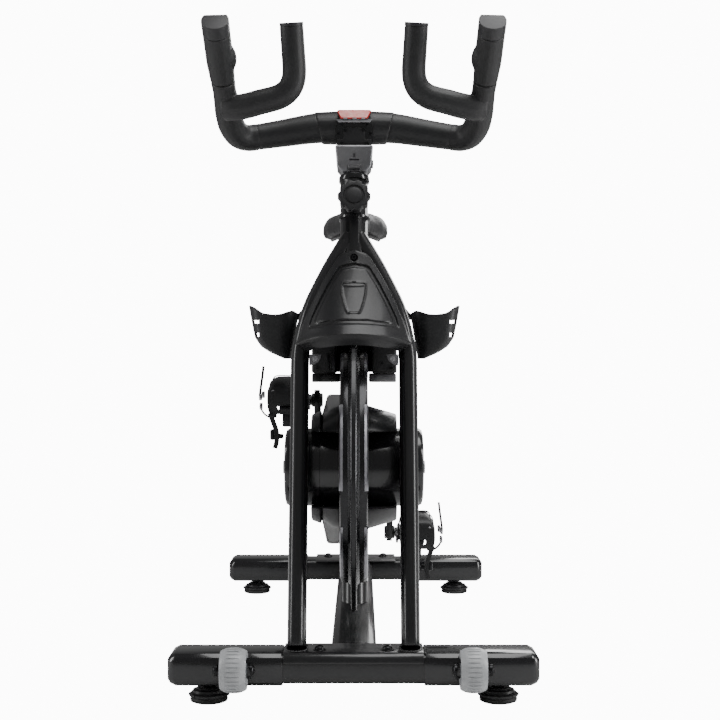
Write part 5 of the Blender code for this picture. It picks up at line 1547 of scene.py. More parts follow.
# ------------------------------------------------------------------------------------ fork and mask
@dataclass
class Fork:
    """Fork legs that meet at the head post, the head post itself, and the front mask."""

    leg_path: tuple[Flat, ...] = ((0.0852, 0.0815), (0.0852, 0.200), (0.0852, 0.350), (0.0852, 0.470),
                                  (0.0848, 0.518), (0.0797, 0.549), (0.0732, 0.5756), (0.0643, 0.602),
                                  (0.0508, 0.631), (0.0356, 0.661), (0.0190, 0.690), (0.0075, 0.710))
    leg_half: Flat = (0.01425, 0.0275)
    lean: float = radians(15)
    fork_foot: Flat = (-0.476, 0.0798)
    tab_places: tuple[Flat, ...] = ((0.0607, 0.5130), (-0.0607, 0.5130))

    def build(self) -> None:
        """Make the fork's pieces."""
        for side in Side:
            self.leg(side)
        self.post()
        self.weld_beads()
        self.tabs()
        Mask().build()

    def centre_y(self, height: float) -> float:
        """World Y of the fork's leaning plane at a height."""
        return self.fork_foot[0] + (height - self.fork_foot[1]) * tan(self.lean)

    def leg(self, side: Side) -> None:
        """A leg with an oval section that bends in towards the head post.

        Args:
            side: Which side.
        """
        path = smooth_path([(x, self.centre_y(z), z) for x, z in self.leg_path], 8)
        loops = []
        for i, place in enumerate(path):
            ahead = (path[min(i + 1, len(path) - 1)] - path[max(i - 1, 0)]).normalized()
            wide = Vector((0, 1, 0)).cross(ahead).normalized()
            deep = ahead.cross(wide).normalized()
            share = max(0.0, (i - 48) / (len(path) - 49))
            half_wide = self.leg_half[0] * (1 - 0.10 * share)
            half_deep = self.leg_half[1] * (1 - 0.25 * share)
            loops.append([place + wide * half_wide * self.power(cos(t),
                                                                0.72) + deep * half_deep * self.power(sin(t),
                                                                        0.72)
                          for t in (2 * pi * k / 40 for k in range(40))])
        if side is Side.RIGHT:
            loops = [[Vector((-p.x, p.y, p.z)) for p in loop] for loop in loops]
        piece = Workshop.loft(loops)
        Workshop.soften(piece, 0.0008, 2, 60)
        finished(piece, f"fork_leg_tube_{side.word}", "frame", FRAME_PAINT, [f"fork_leg_{side.word}"])

    @staticmethod
    def power(value: float, exponent: float) -> float:
        """A signed power, for a section between an oval and a box."""
        return (1 if value >= 0 else -1) * abs(value) ** exponent

    def post(self) -> None:
        """The head post with its rounded crown."""
        piece = Workshop.skin("head_post")
        low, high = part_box("head_post")
        middle_z = (low.z + high.z) / 2
        shell = Workshop.lathe([(0.0, -0.3), (0.0229, -0.3), (0.0229, 0.3), (0.0, 0.3)], Axis.Z, (0, 0, 0),
                               96)
        axis = Matrix.Translation((0, self.centre_y(middle_z), middle_z)) @ Matrix.Rotation(-self.lean, 4,
                "X")
        Workshop.boolean(piece, Workshop.placed(shell, axis), "INTERSECT")
        finished(piece, "head_post_tube", "frame", FRAME_PAINT, ["head_post"], 45)
        low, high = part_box("head_post_sleeve")
        centre = (low + high) / 2
        ring = Workshop.lathe([(0.0228, -0.010), (0.0245, -0.0095), (0.0250, -0.006), (0.0228, -0.0045),
                               (0.0228, -0.010)],
                              Axis.Z, (0, 0, 0), 64)
        turn = Matrix.Translation(centre) @ Matrix.Rotation(-self.lean, 4, "X")
        finished(Workshop.placed(ring, turn), "head_post_ring", "frame", GLOSS)
        lug = Workshop.box((-0.0135, -0.0325, -0.012), (0.0135, -0.018, 0.012), 0.003)
        knob = joint("handlebar_knob_turn")
        Workshop.placed(lug, Matrix.Translation(Vector(knob["pos_m"])) @ Matrix.Rotation(-self.lean, 4, "X"))
        finished(lug, "head_post_boss", "frame", FRAME_PAINT)

    def weld_beads(self) -> None:
        """A rippled bead round each leg's foot."""
        for side in Side:
            x = side.value * 0.0852
            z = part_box("front_mount_plate")[1].z + 0.0004
            beads = []
            count = 44
            for i in range(count):
                t = 2 * pi * i / count
                px = x + (self.leg_half[0] + 0.0008) * self.power(cos(t), 0.72)
                py = self.centre_y(z) + (self.leg_half[1] + 0.0010) * self.power(sin(t), 0.72)
                Workshop.clear_selection()
                bpy.ops.mesh.primitive_uv_sphere_add(segments=10, ring_count=6, radius=0.0021,
                                                     location=(px, py, z))
                bead = bpy.context.object
                bead.scale = (1.0, 1.0, 0.75)
                beads.append(Workshop.settle(bead))
            finished(Workshop.gather(beads), f"leg_weld_{side.word}", "frame", FRAME_PAINT, (), 180)

    def tabs(self) -> None:
        """Quarter-round tabs inside the legs that hold the mask, each with a bright screw."""
        tabs, screws, washers = [], [], []
        for x, z in self.tab_places:
            way = 1 if x > 0 else -1
            y = self.centre_y(z) - 0.024
            corner = (x + way * 0.0090, z + 0.0070)
            outline = [corner] + [(corner[0] - way * 0.0185 * cos(radians(a)),
                                   corner[1] - 0.0175 * sin(radians(a)))
                                  for a in range(0, 91, 9)]
            tabs.append(Workshop.plate(outline, Axis.Y, y - 0.0012, y + 0.0012, 0.0005))
            washers.append(SCREWS.on(Workshop.lathe([(0.0, 0.0), (0.0044, 0.0), (0.0042, 0.0009),
                                                     (0.0, 0.0011)],
                                                    Axis.Z, (0, 0, 0), 32), (x, y - 0.0011, z), (0, -1, 0)))
            screws.append(SCREWS.on(SCREWS.cap(0.0028, 0.0022, 0.0013), (x, y - 0.0020, z), (0, -1, 0)))
        finished(Workshop.gather(tabs), "mask_tabs", "frame", GREY_TAB)
        finished(Workshop.gather(washers), "mask_tab_washers", "frame", BRIGHT_STEEL)
        finished(Workshop.gather(screws), "mask_tab_screws", "frame", PALE_TRIM)


@dataclass
class Mask:
    """The front mask: a bulged shell with a lower lip, a grooved panel, a blank shield and a screw."""

    edge: tuple[Flat, ...] = ((0.0790, 0.5228), (0.0850, 0.5292), (0.0912, 0.5362), (0.0875, 0.5471),
                              (0.0790, 0.5737),
                              (0.0670, 0.6027), (0.0525, 0.6316), (0.0345, 0.6622), (0.0225, 0.6780),
                              (0.0110, 0.6835), (0.0, 0.6850))
    centre_rise: tuple[float, ...] = (0.0109, 0.0140, 0.0150, 0.0138, 0.0110, 0.0070, 0.0040, 0.0018, 0.0008,
                                      0.0004, 0.0)
    columns: int = 168
    rows_per_step: int = 18
    wall: float = 0.0028
    groove_side: tuple[Flat, ...] = ((0.0718, 0.5615), (0.0670, 0.5785), (0.0561, 0.6026), (0.0429, 0.6291),
                                     (0.0283, 0.6540), (0.0180, 0.6700))
    groove_top: float = 0.6650
    groove_bottom: float = 0.5590
    groove_depth: float = 0.0036
    panel_depth: float = 0.0012
    shield_side: tuple[Flat, ...] = ((0.0102, 0.5825), (0.0135, 0.5900), (0.0170, 0.6020), (0.0198, 0.6150),
                                     (0.0207, 0.6250), (0.0205, 0.6340))
    screw_height: float = 0.6732

    def build(self) -> None:
        """Make the shell and its screw."""
        edge = smooth_path([(x, z, rise) for (x, z), rise in zip(self.edge, self.centre_rise)],
                           self.rows_per_step)
        rows = []
        crease = 2 * self.rows_per_step
        for i, (half, height, rise) in enumerate(edge):
            lip = max(0.0, 1 - i / crease)
            row = []
            for column in range(self.columns + 1):
                u = 2 * column / self.columns - 1
                u = u * (1.5 - 0.5 * u * u)
                x = max(half, 0.0004) * u
                z = height + rise * (1 - u * u)
                row.append((x, self.front(x, z, u, lip), z))
            rows.append(row)
        shell = Workshop.sheet_of(rows)
        Workshop.apply(shell, "SOLIDIFY", thickness=self.wall, offset=1.0 if self.faces_back(shell) else -1.0)
        Workshop.outward(shell)
        middle_y = self.front(0, self.screw_height, 0, 0)
        finished(shell, "mask_shell", "frame", MASK_BLACK, ["front_mask"], 32)
        screw = SCREWS.on(SCREWS.cap(0.0046, 0.0030, 0.0024), (0, middle_y - 0.0004, self.screw_height),
                          (0, -1, 0.25))
        finished(screw, "mask_screw", "frame", BOLT_BLACK)

    @staticmethod
    def faces_back(shell: bpy.types.Object) -> bool:
        """Whether the sheet's normals point towards +Y, away from the front."""
        return sum(face.normal.y * face.area for face in shell.data.polygons) > 0

    def front(self, x: float, z: float, u: float, lip: float) -> float:
        """World Y of the mask's outer face.

        Args:
            x: Place across.
            z: Height.
            u: Share of the half width, from -1 to 1.
            lip: 1 at the bottom edge, falling to 0 at the crease.

        Returns:
            The Y.
        """
        share = min(1.0, max(0.0, (z - 0.530) / 0.155))
        bulge = 0.058 * (1 - share) ** 1.5 + 0.005
        rim = 0.0060 * max(0.0, (abs(u) - 0.93) / 0.07) ** 2
        local = -0.0320 - bulge * (1 - u * u) + rim + 0.016 * lip
        local += self.groove(x, z) - self.shield(x, z) + self.hole(x, z)
        lean = radians(15)
        along = (z - 0.0798 + local * sin(lean)) / cos(lean)
        return -0.476 + local * cos(lean) + along * sin(lean)

    @staticmethod
    def half_at(side: Sequence[Flat], z: float) -> float:
        """Half width of a side line at a height."""
        for (a, low), (b, high) in zip(side, side[1:]):
            if low <= z <= high:
                return a + (b - a) * (z - low) / (high - low)
        return side[0][0] if z < side[0][1] else side[-1][0]

    @staticmethod
    def soft_least(values: Sequence[float], blend: float) -> float:
        """The least value, with its corners rounded."""
        least = min(values)
        total = sum(pow(2.718281828, -(v - least) / blend) for v in values)
        return least - blend * log(total)

    @staticmethod
    def ramp(value: float, low: float, high: float) -> float:
        """A smooth rise from 0 to 1 between two values."""
        t = min(1.0, max(0.0, (value - low) / (high - low)))
        return t * t * (3 - 2 * t)

    def hole(self, x: float, z: float) -> float:
        """Depth of the screw's counterbore."""
        away = ((x * x) + (z - self.screw_height) ** 2) ** 0.5
        return 0.0052 * (1 - self.ramp(away, 0.0052, 0.0064))

    def groove(self, x: float, z: float) -> float:
        """How far the groove and its panel lie behind the face."""
        arch = self.groove_bottom + 0.0062 * (1 - (x / 0.072) ** 2)
        inside = self.soft_least(((self.half_at(self.groove_side, z) - abs(x)) * 0.88, z - arch,
                                  self.groove_top - z - 0.18 * abs(x)), 0.0018)
        down = self.ramp(inside, 0.0, 0.0026)
        up = self.ramp(inside, 0.0066, 0.0086)
        return self.groove_depth * down - (self.groove_depth - self.panel_depth) * up

    def shield(self, x: float, z: float) -> float:
        """How far the blank shield's rim stands out of the panel."""
        inside = self.soft_least((self.half_at(self.shield_side, z) - abs(x), z - 0.5825,
                                  0.6352 - z - 0.06 * abs(x)), 0.0010)
        ridge = self.ramp(inside, 0.0, 0.0010) - self.ramp(inside, 0.0020, 0.0034)
        bar = self.ramp(inside, 0.0034, 0.0040) * (self.ramp(z, 0.6262, 0.6270) - self.ramp(z, 0.6282,
                0.6290))
        return 0.0013 * ridge + 0.0008 * bar - 0.0004 * self.ramp(inside, 0.0030, 0.0040)


# ------------------------------------------------------------------------------------ drive
@dataclass
class Drive:
    """Flywheel, its hub housings, the belt cover, cranks, pedals with toe cages and straps."""

    lobes: int = 6
    lobe_turn: float = 42.0              # degrees covered by each bright edge
    first_lobe: float = -7.0
    body_radius: float = 0.185
    body_half: float = 0.0215
    barrel_radius: float = 0.0625
    window_half: float = 0.0600          # half height of the flare's front opening
    hub_start: float = 0.0188            # X where the fixed parts round the hub start, in the wheel's dish

    def build(self) -> None:
        """Make every piece of the drive."""
        self.flywheel()
        for side in Side:
            self.hub(side)
            self.crank(side)
            Pedal(side).build()
        self.belt_cover()

    def flywheel(self) -> None:
        """The wheel: a thick black disc with a thin rim, bright edge arcs and a ring of bolts."""
        centre = joint("flywheel_spin")["pos_m"]
        rim = (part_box("flywheel")[1].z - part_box("flywheel")[0].z) / 2
        half = [(0.0175, self.body_half - 0.002), (0.055, self.body_half - 0.002),
                (0.060, self.body_half - 0.006),
                (0.120, self.body_half - 0.006), (0.128, self.body_half - 0.001), (0.1780, self.body_half),
                (0.1835, self.body_half - 0.0020), (self.body_radius, self.body_half - 0.0055),
                (self.body_radius, 0.0090), (0.1885, 0.0058), (0.1960, 0.0048), (rim - 0.0030, 0.0046),
                (rim - 0.0010, 0.0042), (rim, 0.0030)]
        profile = half + [(radius, -x) for radius, x in reversed(half)] + [half[0]]
        wheel = Workshop.lathe(profile, Axis.X, centre, 128)
        finished(wheel, "flywheel_disc", "flywheel", FLYWHEEL_ALLOY, ["flywheel"], 25)
        band = Workshop.lathe([(rim + 0.0002, -0.0022), (rim + 0.0002, 0.0022), (rim - 0.001, 0.0022),
                               (rim - 0.001, -0.0022), (rim + 0.0002, -0.0022)], Axis.X, centre, 128)
        finished(band, "flywheel_rim_band", "flywheel", CRANK_ALLOY)
        arcs = []
        for way in (-1, 1):
            for i in range(self.lobes):
                arcs.append(self.bright_arc(centre, way, self.first_lobe + 360 / self.lobes * i))
        finished(Workshop.gather(arcs), "flywheel_bright_edges", "flywheel", BRIGHT_RIM)
        bolts = []
        for way in (-1, 1):
            for i in range(6):
                t = 2 * pi * i / 6
                place = (way * (self.body_half - 0.0062), centre[1] + 0.110 * cos(t),
                         centre[2] + 0.110 * sin(t))
                bolts.append(SCREWS.on(SCREWS.cap(0.0050, 0.0045, 0.0026), place, (way, 0, 0)))
        finished(Workshop.gather(bolts), "flywheel_bolts", "flywheel", BRIGHT_STEEL)

    def bright_arc(self, centre: Point, way: int, start: float) -> bpy.types.Object:
        """One machined edge that runs part of the way round the disc.

        Args:
            centre: Centre of the wheel.
            way: 1 for the left face and -1 for the right.
            start: Angle that it starts at, in degrees.

        Returns:
            The arc.
        """
        section = [(self.body_radius - 0.0075, self.body_half - 0.0004),
                   (self.body_radius - 0.0068, self.body_half + 0.0005),
                   (self.body_radius - 0.0015, self.body_half - 0.0016),
                   (self.body_radius + 0.0004, self.body_half - 0.0052),
                   (self.body_radius - 0.0010, self.body_half - 0.0058)]
        loops = []
        steps = 20
        for k in range(steps + 1):
            share = min(k, steps - k) / 3
            t = radians(start + self.lobe_turn * k / steps)
            fade = min(1.0, 0.35 + share * 0.65)
            loops.append([(way * x, centre[1] - (self.body_radius - (self.body_radius - r) * fade) * cos(t),
                           centre[2] + (self.body_radius - (self.body_radius - r) * fade) * sin(t)) for r,
                           x in section])
        return Workshop.loft(loops)

    def hub(self, side: Side) -> None:
        """A hub housing: a conical flare, open in front, over a barrel with a round nose.

        Args:
            side: Which side.
        """
        node = f"hub_housing_{side.word}"
        low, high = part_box(node)
        reach = sorted((abs(low.x), abs(high.x)))
        if side is Side.LEFT:
            reach[0] = self.hub_start
        centre = joint("flywheel_spin")["pos_m"]
        barrel = [(0.0110, reach[0] - 0.0005), (self.barrel_radius - 0.002, reach[0] - 0.0005),
                  (self.barrel_radius, reach[0] + 0.0015), (self.barrel_radius, reach[1] - 0.0070),
                  (self.barrel_radius - 0.0030, reach[1] - 0.0022),
                  (self.barrel_radius - 0.010, reach[1] - 0.0004),
                  (self.barrel_radius - 0.016, reach[1]), (self.barrel_radius - 0.018, reach[1] - 0.0018),
                  (self.barrel_radius - 0.0375, reach[1] - 0.0018),
                  (self.barrel_radius - 0.0385, reach[1] - 0.0006),
                  (0.0110, reach[1] - 0.0006), (0.0110, reach[0] - 0.0005)]
        body = Workshop.lathe([(r, side.value * x) for r, x in barrel], Axis.X, centre, 96)
        finished(body, f"hub_barrel_{side.word}", "frame", GLOSS, [node])
        start = reach[0]
        share = max(0.0, start - 0.026) / (0.068 - 0.026)
        wide = 0.100 - 0.015 * share
        flare = [(self.barrel_radius + 0.001, start), (wide - 0.0015, start), (wide, start + 0.0015),
                 (0.0862, 0.0660), (0.0845, 0.0680), (self.barrel_radius + 0.001, 0.0690),
                 (self.barrel_radius + 0.001, start)]
        cone = Workshop.lathe([(r, side.value * x) for r, x in flare], Axis.X, centre, 96)
        window = Workshop.box((-0.2, centre[1] - 0.2, centre[2] - self.window_half),
                              (0.2, centre[1] - 0.012, centre[2] + self.window_half))
        Workshop.cut(cone, window)
        Workshop.soften(cone, 0.0012, 2, 40)
        finished(cone, f"hub_flare_{side.word}", "frame", HUB_GREY)
        leg_back = Fork().centre_y(centre[2]) + 0.0285
        lug = Workshop.box((side.value * 0.085 - 0.007, leg_back, centre[2] - 0.020),
                           (side.value * 0.085 + 0.007, centre[1] - 0.030, centre[2] + 0.020), 0.002)
        finished(lug, f"hub_lug_{side.word}", "frame", FRAME_PAINT)
        nut = Workshop.plate([(0.0115 * cos(pi * i / 3), 0.0115 * sin(pi * i / 3)) for i in range(6)], Axis.Z,
                             0.0, 0.0045, 0.0008)
        SCREWS.on(nut, (side.value * (reach[1] - 0.0008), centre[1], centre[2]), (side.value, 0, 0))
        finished(nut, f"hub_nut_{side.word}", "frame", BRIGHT_STEEL)
        heads = [SCREWS.on(SCREWS.cap(0.0030, 0.0020, 0.0015),
                           (side.value * (start + 0.0040), centre[1] - (wide - 0.010) * cos(t) * 0.78,
                            centre[2] + (wide - 0.0010) * sin(t)), (0, -0.5 * cos(t), sin(t)))
                 for t in (radians(48), radians(-48))]
        finished(Workshop.gather(heads), f"hub_screws_{side.word}", "frame", BOLT_BLACK)

    def cover_line(self, near: float, far: float) -> list[Flat]:
        """An outline round hub and crank, open in front of the hub, as (Y, Z) points.

        Args:
            near: Radius round the hub.
            far: Radius round the crank.

        Returns:
            The points, from the opening's lower edge round to its upper edge.
        """
        hub, crank = joint("flywheel_spin")["pos_m"], joint("crank_spin")["pos_m"]
        run, rise = crank[1] - hub[1], crank[2] - hub[2]
        length = (run * run + rise * rise) ** 0.5
        facing = atan2(rise, run)
        spread = pi / 2 - atan2(near - far, (length ** 2 - (near - far) ** 2) ** 0.5)
        gap = atan2(self.window_half, (near ** 2 - self.window_half ** 2) ** 0.5)
        turns = ((hub, near, gap - pi, facing - spread, 16),
                 (crank, far, facing - spread, facing + spread, 56),
                 (hub, near, facing + spread, pi - gap, 16))
        return [(centre[1] + radius * cos(start + (end - start) * k / steps),
                 centre[2] + radius * sin(start + (end - start) * k / steps))
                for centre, radius, start, end, steps in turns for k in range(steps + 1)]

    def belt_cover(self) -> None:
        """The belt cover: flared round the hub and open in front, with a barrel, a rib and screws."""
        hub, crank = joint("flywheel_spin")["pos_m"], joint("crank_spin")["pos_m"]
        low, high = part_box("belt_cover")
        outer, inner, far = low.x, high.x, (high.z - low.z) / 2
        rows = [[(x, y, z) for y, z in self.cover_line(near, radius)]
                for x, near, radius in ((inner, 0.0985, far - 0.0015), (inner - 0.010, 0.0955, far - 0.001),
                                        (outer + 0.008, 0.0885, far - 0.001),
                                        (outer + 0.0035, 0.0870, far - 0.0020),
                                        (outer + 0.0010, 0.0845, far - 0.0050),
                                        (outer + 0.0006, 0.0800, far - 0.0100),
                                        (outer + 0.0006, 0.0660, 0.0260))]
        piece = Workshop.sheet_of(rows)
        Workshop.apply(piece, "SOLIDIFY", thickness=0.0016, offset=0.0)
        Workshop.outward(piece)
        finished(piece, "belt_cover_shell", "frame", HUB_GREY, ["belt_cover"])
        start = -self.hub_start
        collar = Workshop.lathe([(0.0632, start), (0.0975, start), (0.0970, inner), (0.0862, outer + 0.0080),
                                 (0.0840, outer + 0.0030), (0.0632, outer + 0.0030), (0.0632, start)], Axis.X,
                                 hub, 96)
        Workshop.cut(collar, Workshop.box((-0.2, hub[1] - 0.004, 0.0), (0.2, 1.0, 1.0)))
        Workshop.cut(collar, Workshop.box((outer - 0.02, hub[1] - 0.2, hub[2] - self.window_half),
                                          (0.02, hub[1] - 0.012, hub[2] + self.window_half)))
        finished(collar, "belt_cover_collar", "frame", HUB_GREY)
        barrel = Workshop.lathe([(self.barrel_radius - 0.002, start), (self.barrel_radius, start - 0.0006),
                                 (self.barrel_radius, outer - 0.0030),
                                 (self.barrel_radius - 0.002, outer - 0.0030),
                                 (self.barrel_radius - 0.002, start)], Axis.X, hub, 96)
        Workshop.cut(barrel, Workshop.box((-0.2, hub[1] - 0.004, 0.0), (0.2, 1.0, 1.0)))
        finished(barrel, "belt_cover_barrel", "frame", GLOSS)
        radius = far - 0.016
        ring = Workshop.lathe([(radius - 0.0050, outer - 0.0012), (radius, outer - 0.0012),
                               (radius + 0.0014, outer + 0.0010),
                               (radius - 0.0064, outer + 0.0010), (radius - 0.0050, outer - 0.0012)],
                              Axis.X, (0, crank[1], crank[2]), 96)
        finished(ring, "belt_cover_rib", "frame", GLOSS)
        places = [(outer + 0.0002, crank[1] + (radius - 0.014) * cos(t), crank[2] + (radius - 0.014) * sin(t))
                  for t in (radians(a) for a in (20, 80, 140, 220, 280, 340))]
        heads = SCREWS.row(SCREWS.pan(0.0040, 0.0018), places, (-1, 0, 0))
        finished(heads, "belt_cover_screws", "frame", BOLT_BLACK)

    def crank(self, side: Side) -> None:
        """A crank arm: a flat bar between two bosses, with its bright cap and the pedal's nut.

        Args:
            side: Which side.
        """
        node = f"crank_arm_{side.word}"
        crank = Vector(joint("crank_spin")["pos_m"])
        pedal = Vector(joint(f"pedal_{side.word}_spin")["pos_m"])
        along = Vector((0, pedal.y - crank.y, pedal.z - crank.z)).normalized()
        turn = atan2(along.z, along.y)
        outline = [(crank.y + 0.0185 * cos(turn + radians(a)), crank.z + 0.0185 * sin(turn + radians(a)))
                   for a in range(90, 271, 12)]
        outline += [(pedal.y + 0.0125 * cos(turn + radians(a)), pedal.z + 0.0125 * sin(turn + radians(a)))
                    for a in range(-90, 91, 12)]
        low, high = sorted((side.value * 0.0603, side.value * 0.0717))
        parts = [Workshop.plate(outline, Axis.X, low, high, 0.0022)]
        for place, radius, inner, outer in ((crank, 0.0200, 0.0568, 0.0761), (pedal, 0.0122, 0.0562, 0.0761)):
            profile = [(0.0, inner), (radius - 0.0016, inner), (radius, inner + 0.0018),
                       (radius, outer - 0.0018),
                       (radius - 0.0016, outer), (0.0, outer)]
            parts.append(Workshop.lathe([(r, side.value * x) for r, x in profile], Axis.X,
                                        (0, place.y, place.z), 48))
        tip = pedal + along * 0.0170
        parts.append(Workshop.box((low + 0.0006, tip.y - 0.0048, tip.z - 0.0048),
                                  (high - 0.0006, tip.y + 0.0048, tip.z + 0.0048),
                                  0.0012, 2))
        finished(Workshop.gather(parts), node + "_forging", "crank", SATIN, [node])
        cap = SCREWS.on(Workshop.lathe([(0.0, -0.001), (0.0118, -0.001), (0.0118, 0.0012), (0.0100, 0.0024),
                                        (0.0060, 0.0024), (0.0052, 0.0010), (0.0, 0.0010)], Axis.Z, (0, 0, 0),
                                        40),
                        (side.value * 0.0762, crank.y, crank.z), (side.value, 0, 0))
        finished(cap, f"crank_cap_{side.word}", "crank", BRIGHT_STEEL)
        pin = Workshop.box((low + 0.0012, tip.y - 0.0040, tip.z + 0.0042),
                           (high - 0.0012, tip.y + 0.0040, tip.z + 0.0052), 0.0004, 1)
        finished(pin, f"crank_tip_{side.word}", "crank", PALE_TRIM)


@dataclass
class Pedal:
    """A pedal: platform, cleat plates below, a toe hood in front and a strap with buckles."""

    side: Side
    inner: float = 0.0815
    outer: float = 0.1515
    strap_width: float = 0.0140

    def build(self) -> None:
        """Make the pedal's pieces on their own body."""
        word = self.side.word
        self.axis_place = Vector(joint(f"pedal_{word}_spin")["pos_m"])
        self.axis_place.x = 0
        body = f"pedal_{word}"
        self.platform(word, body)
        self.hood(word, body)
        self.strap(word, body)

    def slab(self, x: Flat, y: Flat, z: Flat, width: float = 0.0015) -> bpy.types.Object:
        """A block near the pedal's axis, its X measured outwards from the middle.

        Args:
            x: Nearest and farthest X.
            y: Front and back, from the axis.
            z: Bottom and top, from the axis.
            width: Rounding of its edges.

        Returns:
            The block.
        """
        low, high = self.side.span(*x)
        place = self.axis_place
        return Workshop.box((low, place.y + y[0], place.z + z[0]), (high, place.y + y[1], place.z + z[1]),
                            width, 2)

    def platform(self, word: str, body: str) -> None:
        """Side plates, cross bars, the bearing barrel and the cleat jaws underneath."""
        bars = [self.slab((self.inner, self.inner + 0.006), (-0.044, 0.044), (-0.010, 0.011)),
                self.slab((self.outer - 0.006, self.outer), (-0.044, 0.044), (-0.010, 0.011)),
                self.slab((self.inner + 0.002, self.outer - 0.002), (-0.044, -0.037), (-0.009, 0.0105)),
                self.slab((self.inner + 0.002, self.outer - 0.002), (0.037, 0.044), (-0.009, 0.0105)),
                self.slab((0.101, 0.132), (-0.040, 0.040), (-0.009, 0.009), 0.002)]
        for k in range(5):
            bars.append(self.slab((self.inner + 0.004, self.outer - 0.004),
                                  (-0.030 + 0.014 * k, -0.027 + 0.014 * k),
                                  (-0.008, 0.0100), 0.0008))
        finished(Workshop.gather(bars), f"pedal_platform_{word}", body, SATIN, [f"pedal_{word}"])
        barrel = Workshop.lathe([(0.0, self.side.value * (self.inner - 0.0050)),
                                 (0.0095, self.side.value * (self.inner - 0.0050)),
                                 (0.0095, self.side.value * (self.inner + 0.004)),
                                 (0.0118, self.side.value * (self.inner + 0.006)),
                                 (0.0118, self.side.value * (self.outer - 0.004)),
                                 (0.0090, self.side.value * (self.outer + 0.0006)),
                                 (0.0, self.side.value * (self.outer + 0.0006))], Axis.X,
                                 tuple(self.axis_place), 40)
        finished(barrel, f"pedal_barrel_{word}", body, GLOSS)
        jaws = [self.slab((0.0900, 0.1320), (-0.034, 0.026), (-0.0180, -0.0100)),
                self.slab((0.0980, 0.1260), (-0.040, -0.024), (-0.0460, -0.0170), 0.003),
                self.slab((0.1000, 0.1240), (0.016, 0.028), (-0.0300, -0.0150)),
                self.slab((0.1360, 0.1490), (-0.046, -0.030), (-0.0300, -0.0180), 0.002),
                self.slab((0.1390, 0.1475), (-0.044, -0.032), (-0.0690, -0.0500), 0.003),
                self.slab((0.1240, 0.1370), (-0.042, -0.034), (-0.0665, -0.0580), 0.002)]
        finished(Workshop.gather(jaws), f"pedal_jaws_{word}", body, DARK_STEEL)
        spring = Workshop.lathe([(0.0, self.side.value * 0.1020), (0.0042, self.side.value * 0.1020),
                                 (0.0042, self.side.value * 0.1310), (0.0, self.side.value * 0.1310)], Axis.X,
                                (0, self.axis_place.y - 0.024, self.axis_place.z - 0.0205), 24)
        finished(spring, f"pedal_spring_{word}", body, BRIGHT_STEEL)
        pins = [SCREWS.on(Workshop.lathe([(0.0, 0.0), (0.0018, 0.0), (0.0018, 0.0024), (0.0014, 0.0030),
                                          (0.0, 0.0030)],
                                         Axis.Z, (0, 0, 0), 16),
                          (self.side.value * x, self.axis_place.y + y, self.axis_place.z + 0.0108), (0, 0, 1))
                for x in (self.inner + 0.003, self.outer - 0.003) for y in (-0.020, 0.0, 0.020, 0.036)]
        finished(Workshop.gather(pins), f"pedal_pins_{word}", body, BRIGHT_STEEL)

    def hood(self, word: str, body: str) -> None:
        """The toe cage: a bent shell with chamfered shoulders and a window in front."""
        node = f"toe_cage_{word}"
        low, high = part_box(node)
        top = high.z - self.axis_place.z
        reach = self.axis_place.y - low.y
        rows = []
        middle = (self.inner + self.outer) / 2
        for y, z, half in ((-0.008, top - 0.002, 0.0250), (-0.030, top - 0.0005, 0.0262),
                           (-reach * 0.62, top - 0.0020, 0.0270),
                           (-reach * 0.80, top - 0.0060, 0.0285), (-reach * 0.93, top - 0.0125, 0.0310),
                           (-reach * 0.985, top - 0.0190, 0.0325), (-reach, 0.0080, 0.0335),
                           (-reach * 0.99, -0.0080, 0.0330),
                           (-reach * 0.97, -0.0180, 0.0300), (-reach * 0.93, -0.0215, 0.0270)):
            slope = 0.0085 if z > 0.012 else 0.0025
            rows.append([(self.side.value * (middle + half * u), self.axis_place.y + y,
                          self.axis_place.z + z - slope * drop)
                         for u, drop in ((-1.0, 1.0), (-0.93, 0.62), (-0.78, 0.0), (-0.4, 0.0), (0.0, 0.0),
                                         (0.4, 0.0),
                                         (0.78, 0.0), (0.93, 0.62), (1.0, 1.0))])
        shell = Workshop.sheet_of(rows)
        Workshop.subdivide(shell, 2)
        Workshop.apply(shell, "SOLIDIFY", thickness=0.0026, offset=0.0)
        Workshop.outward(shell)
        window = self.slab((self.inner + 0.019, self.outer - 0.019), (-reach - 0.02, -reach + 0.016),
                           (-0.0140, -0.0045), 0.003)
        Workshop.cut(shell, window)
        Workshop.soften(shell, 0.0006, 2, 50)
        finished(shell, f"toe_hood_{word}", body, SATIN, [node])
        bolts = [SCREWS.on(SCREWS.cap(0.0032, 0.0020, 0.0016),
                           (self.side.value * x, self.axis_place.y - reach + 0.0018,
                            self.axis_place.z + 0.0165), (0, -1, 0))
                 for x in (self.inner + 0.012, self.outer - 0.012)]
        finished(Workshop.gather(bolts), f"toe_bolts_{word}", body, BRIGHT_STEEL)

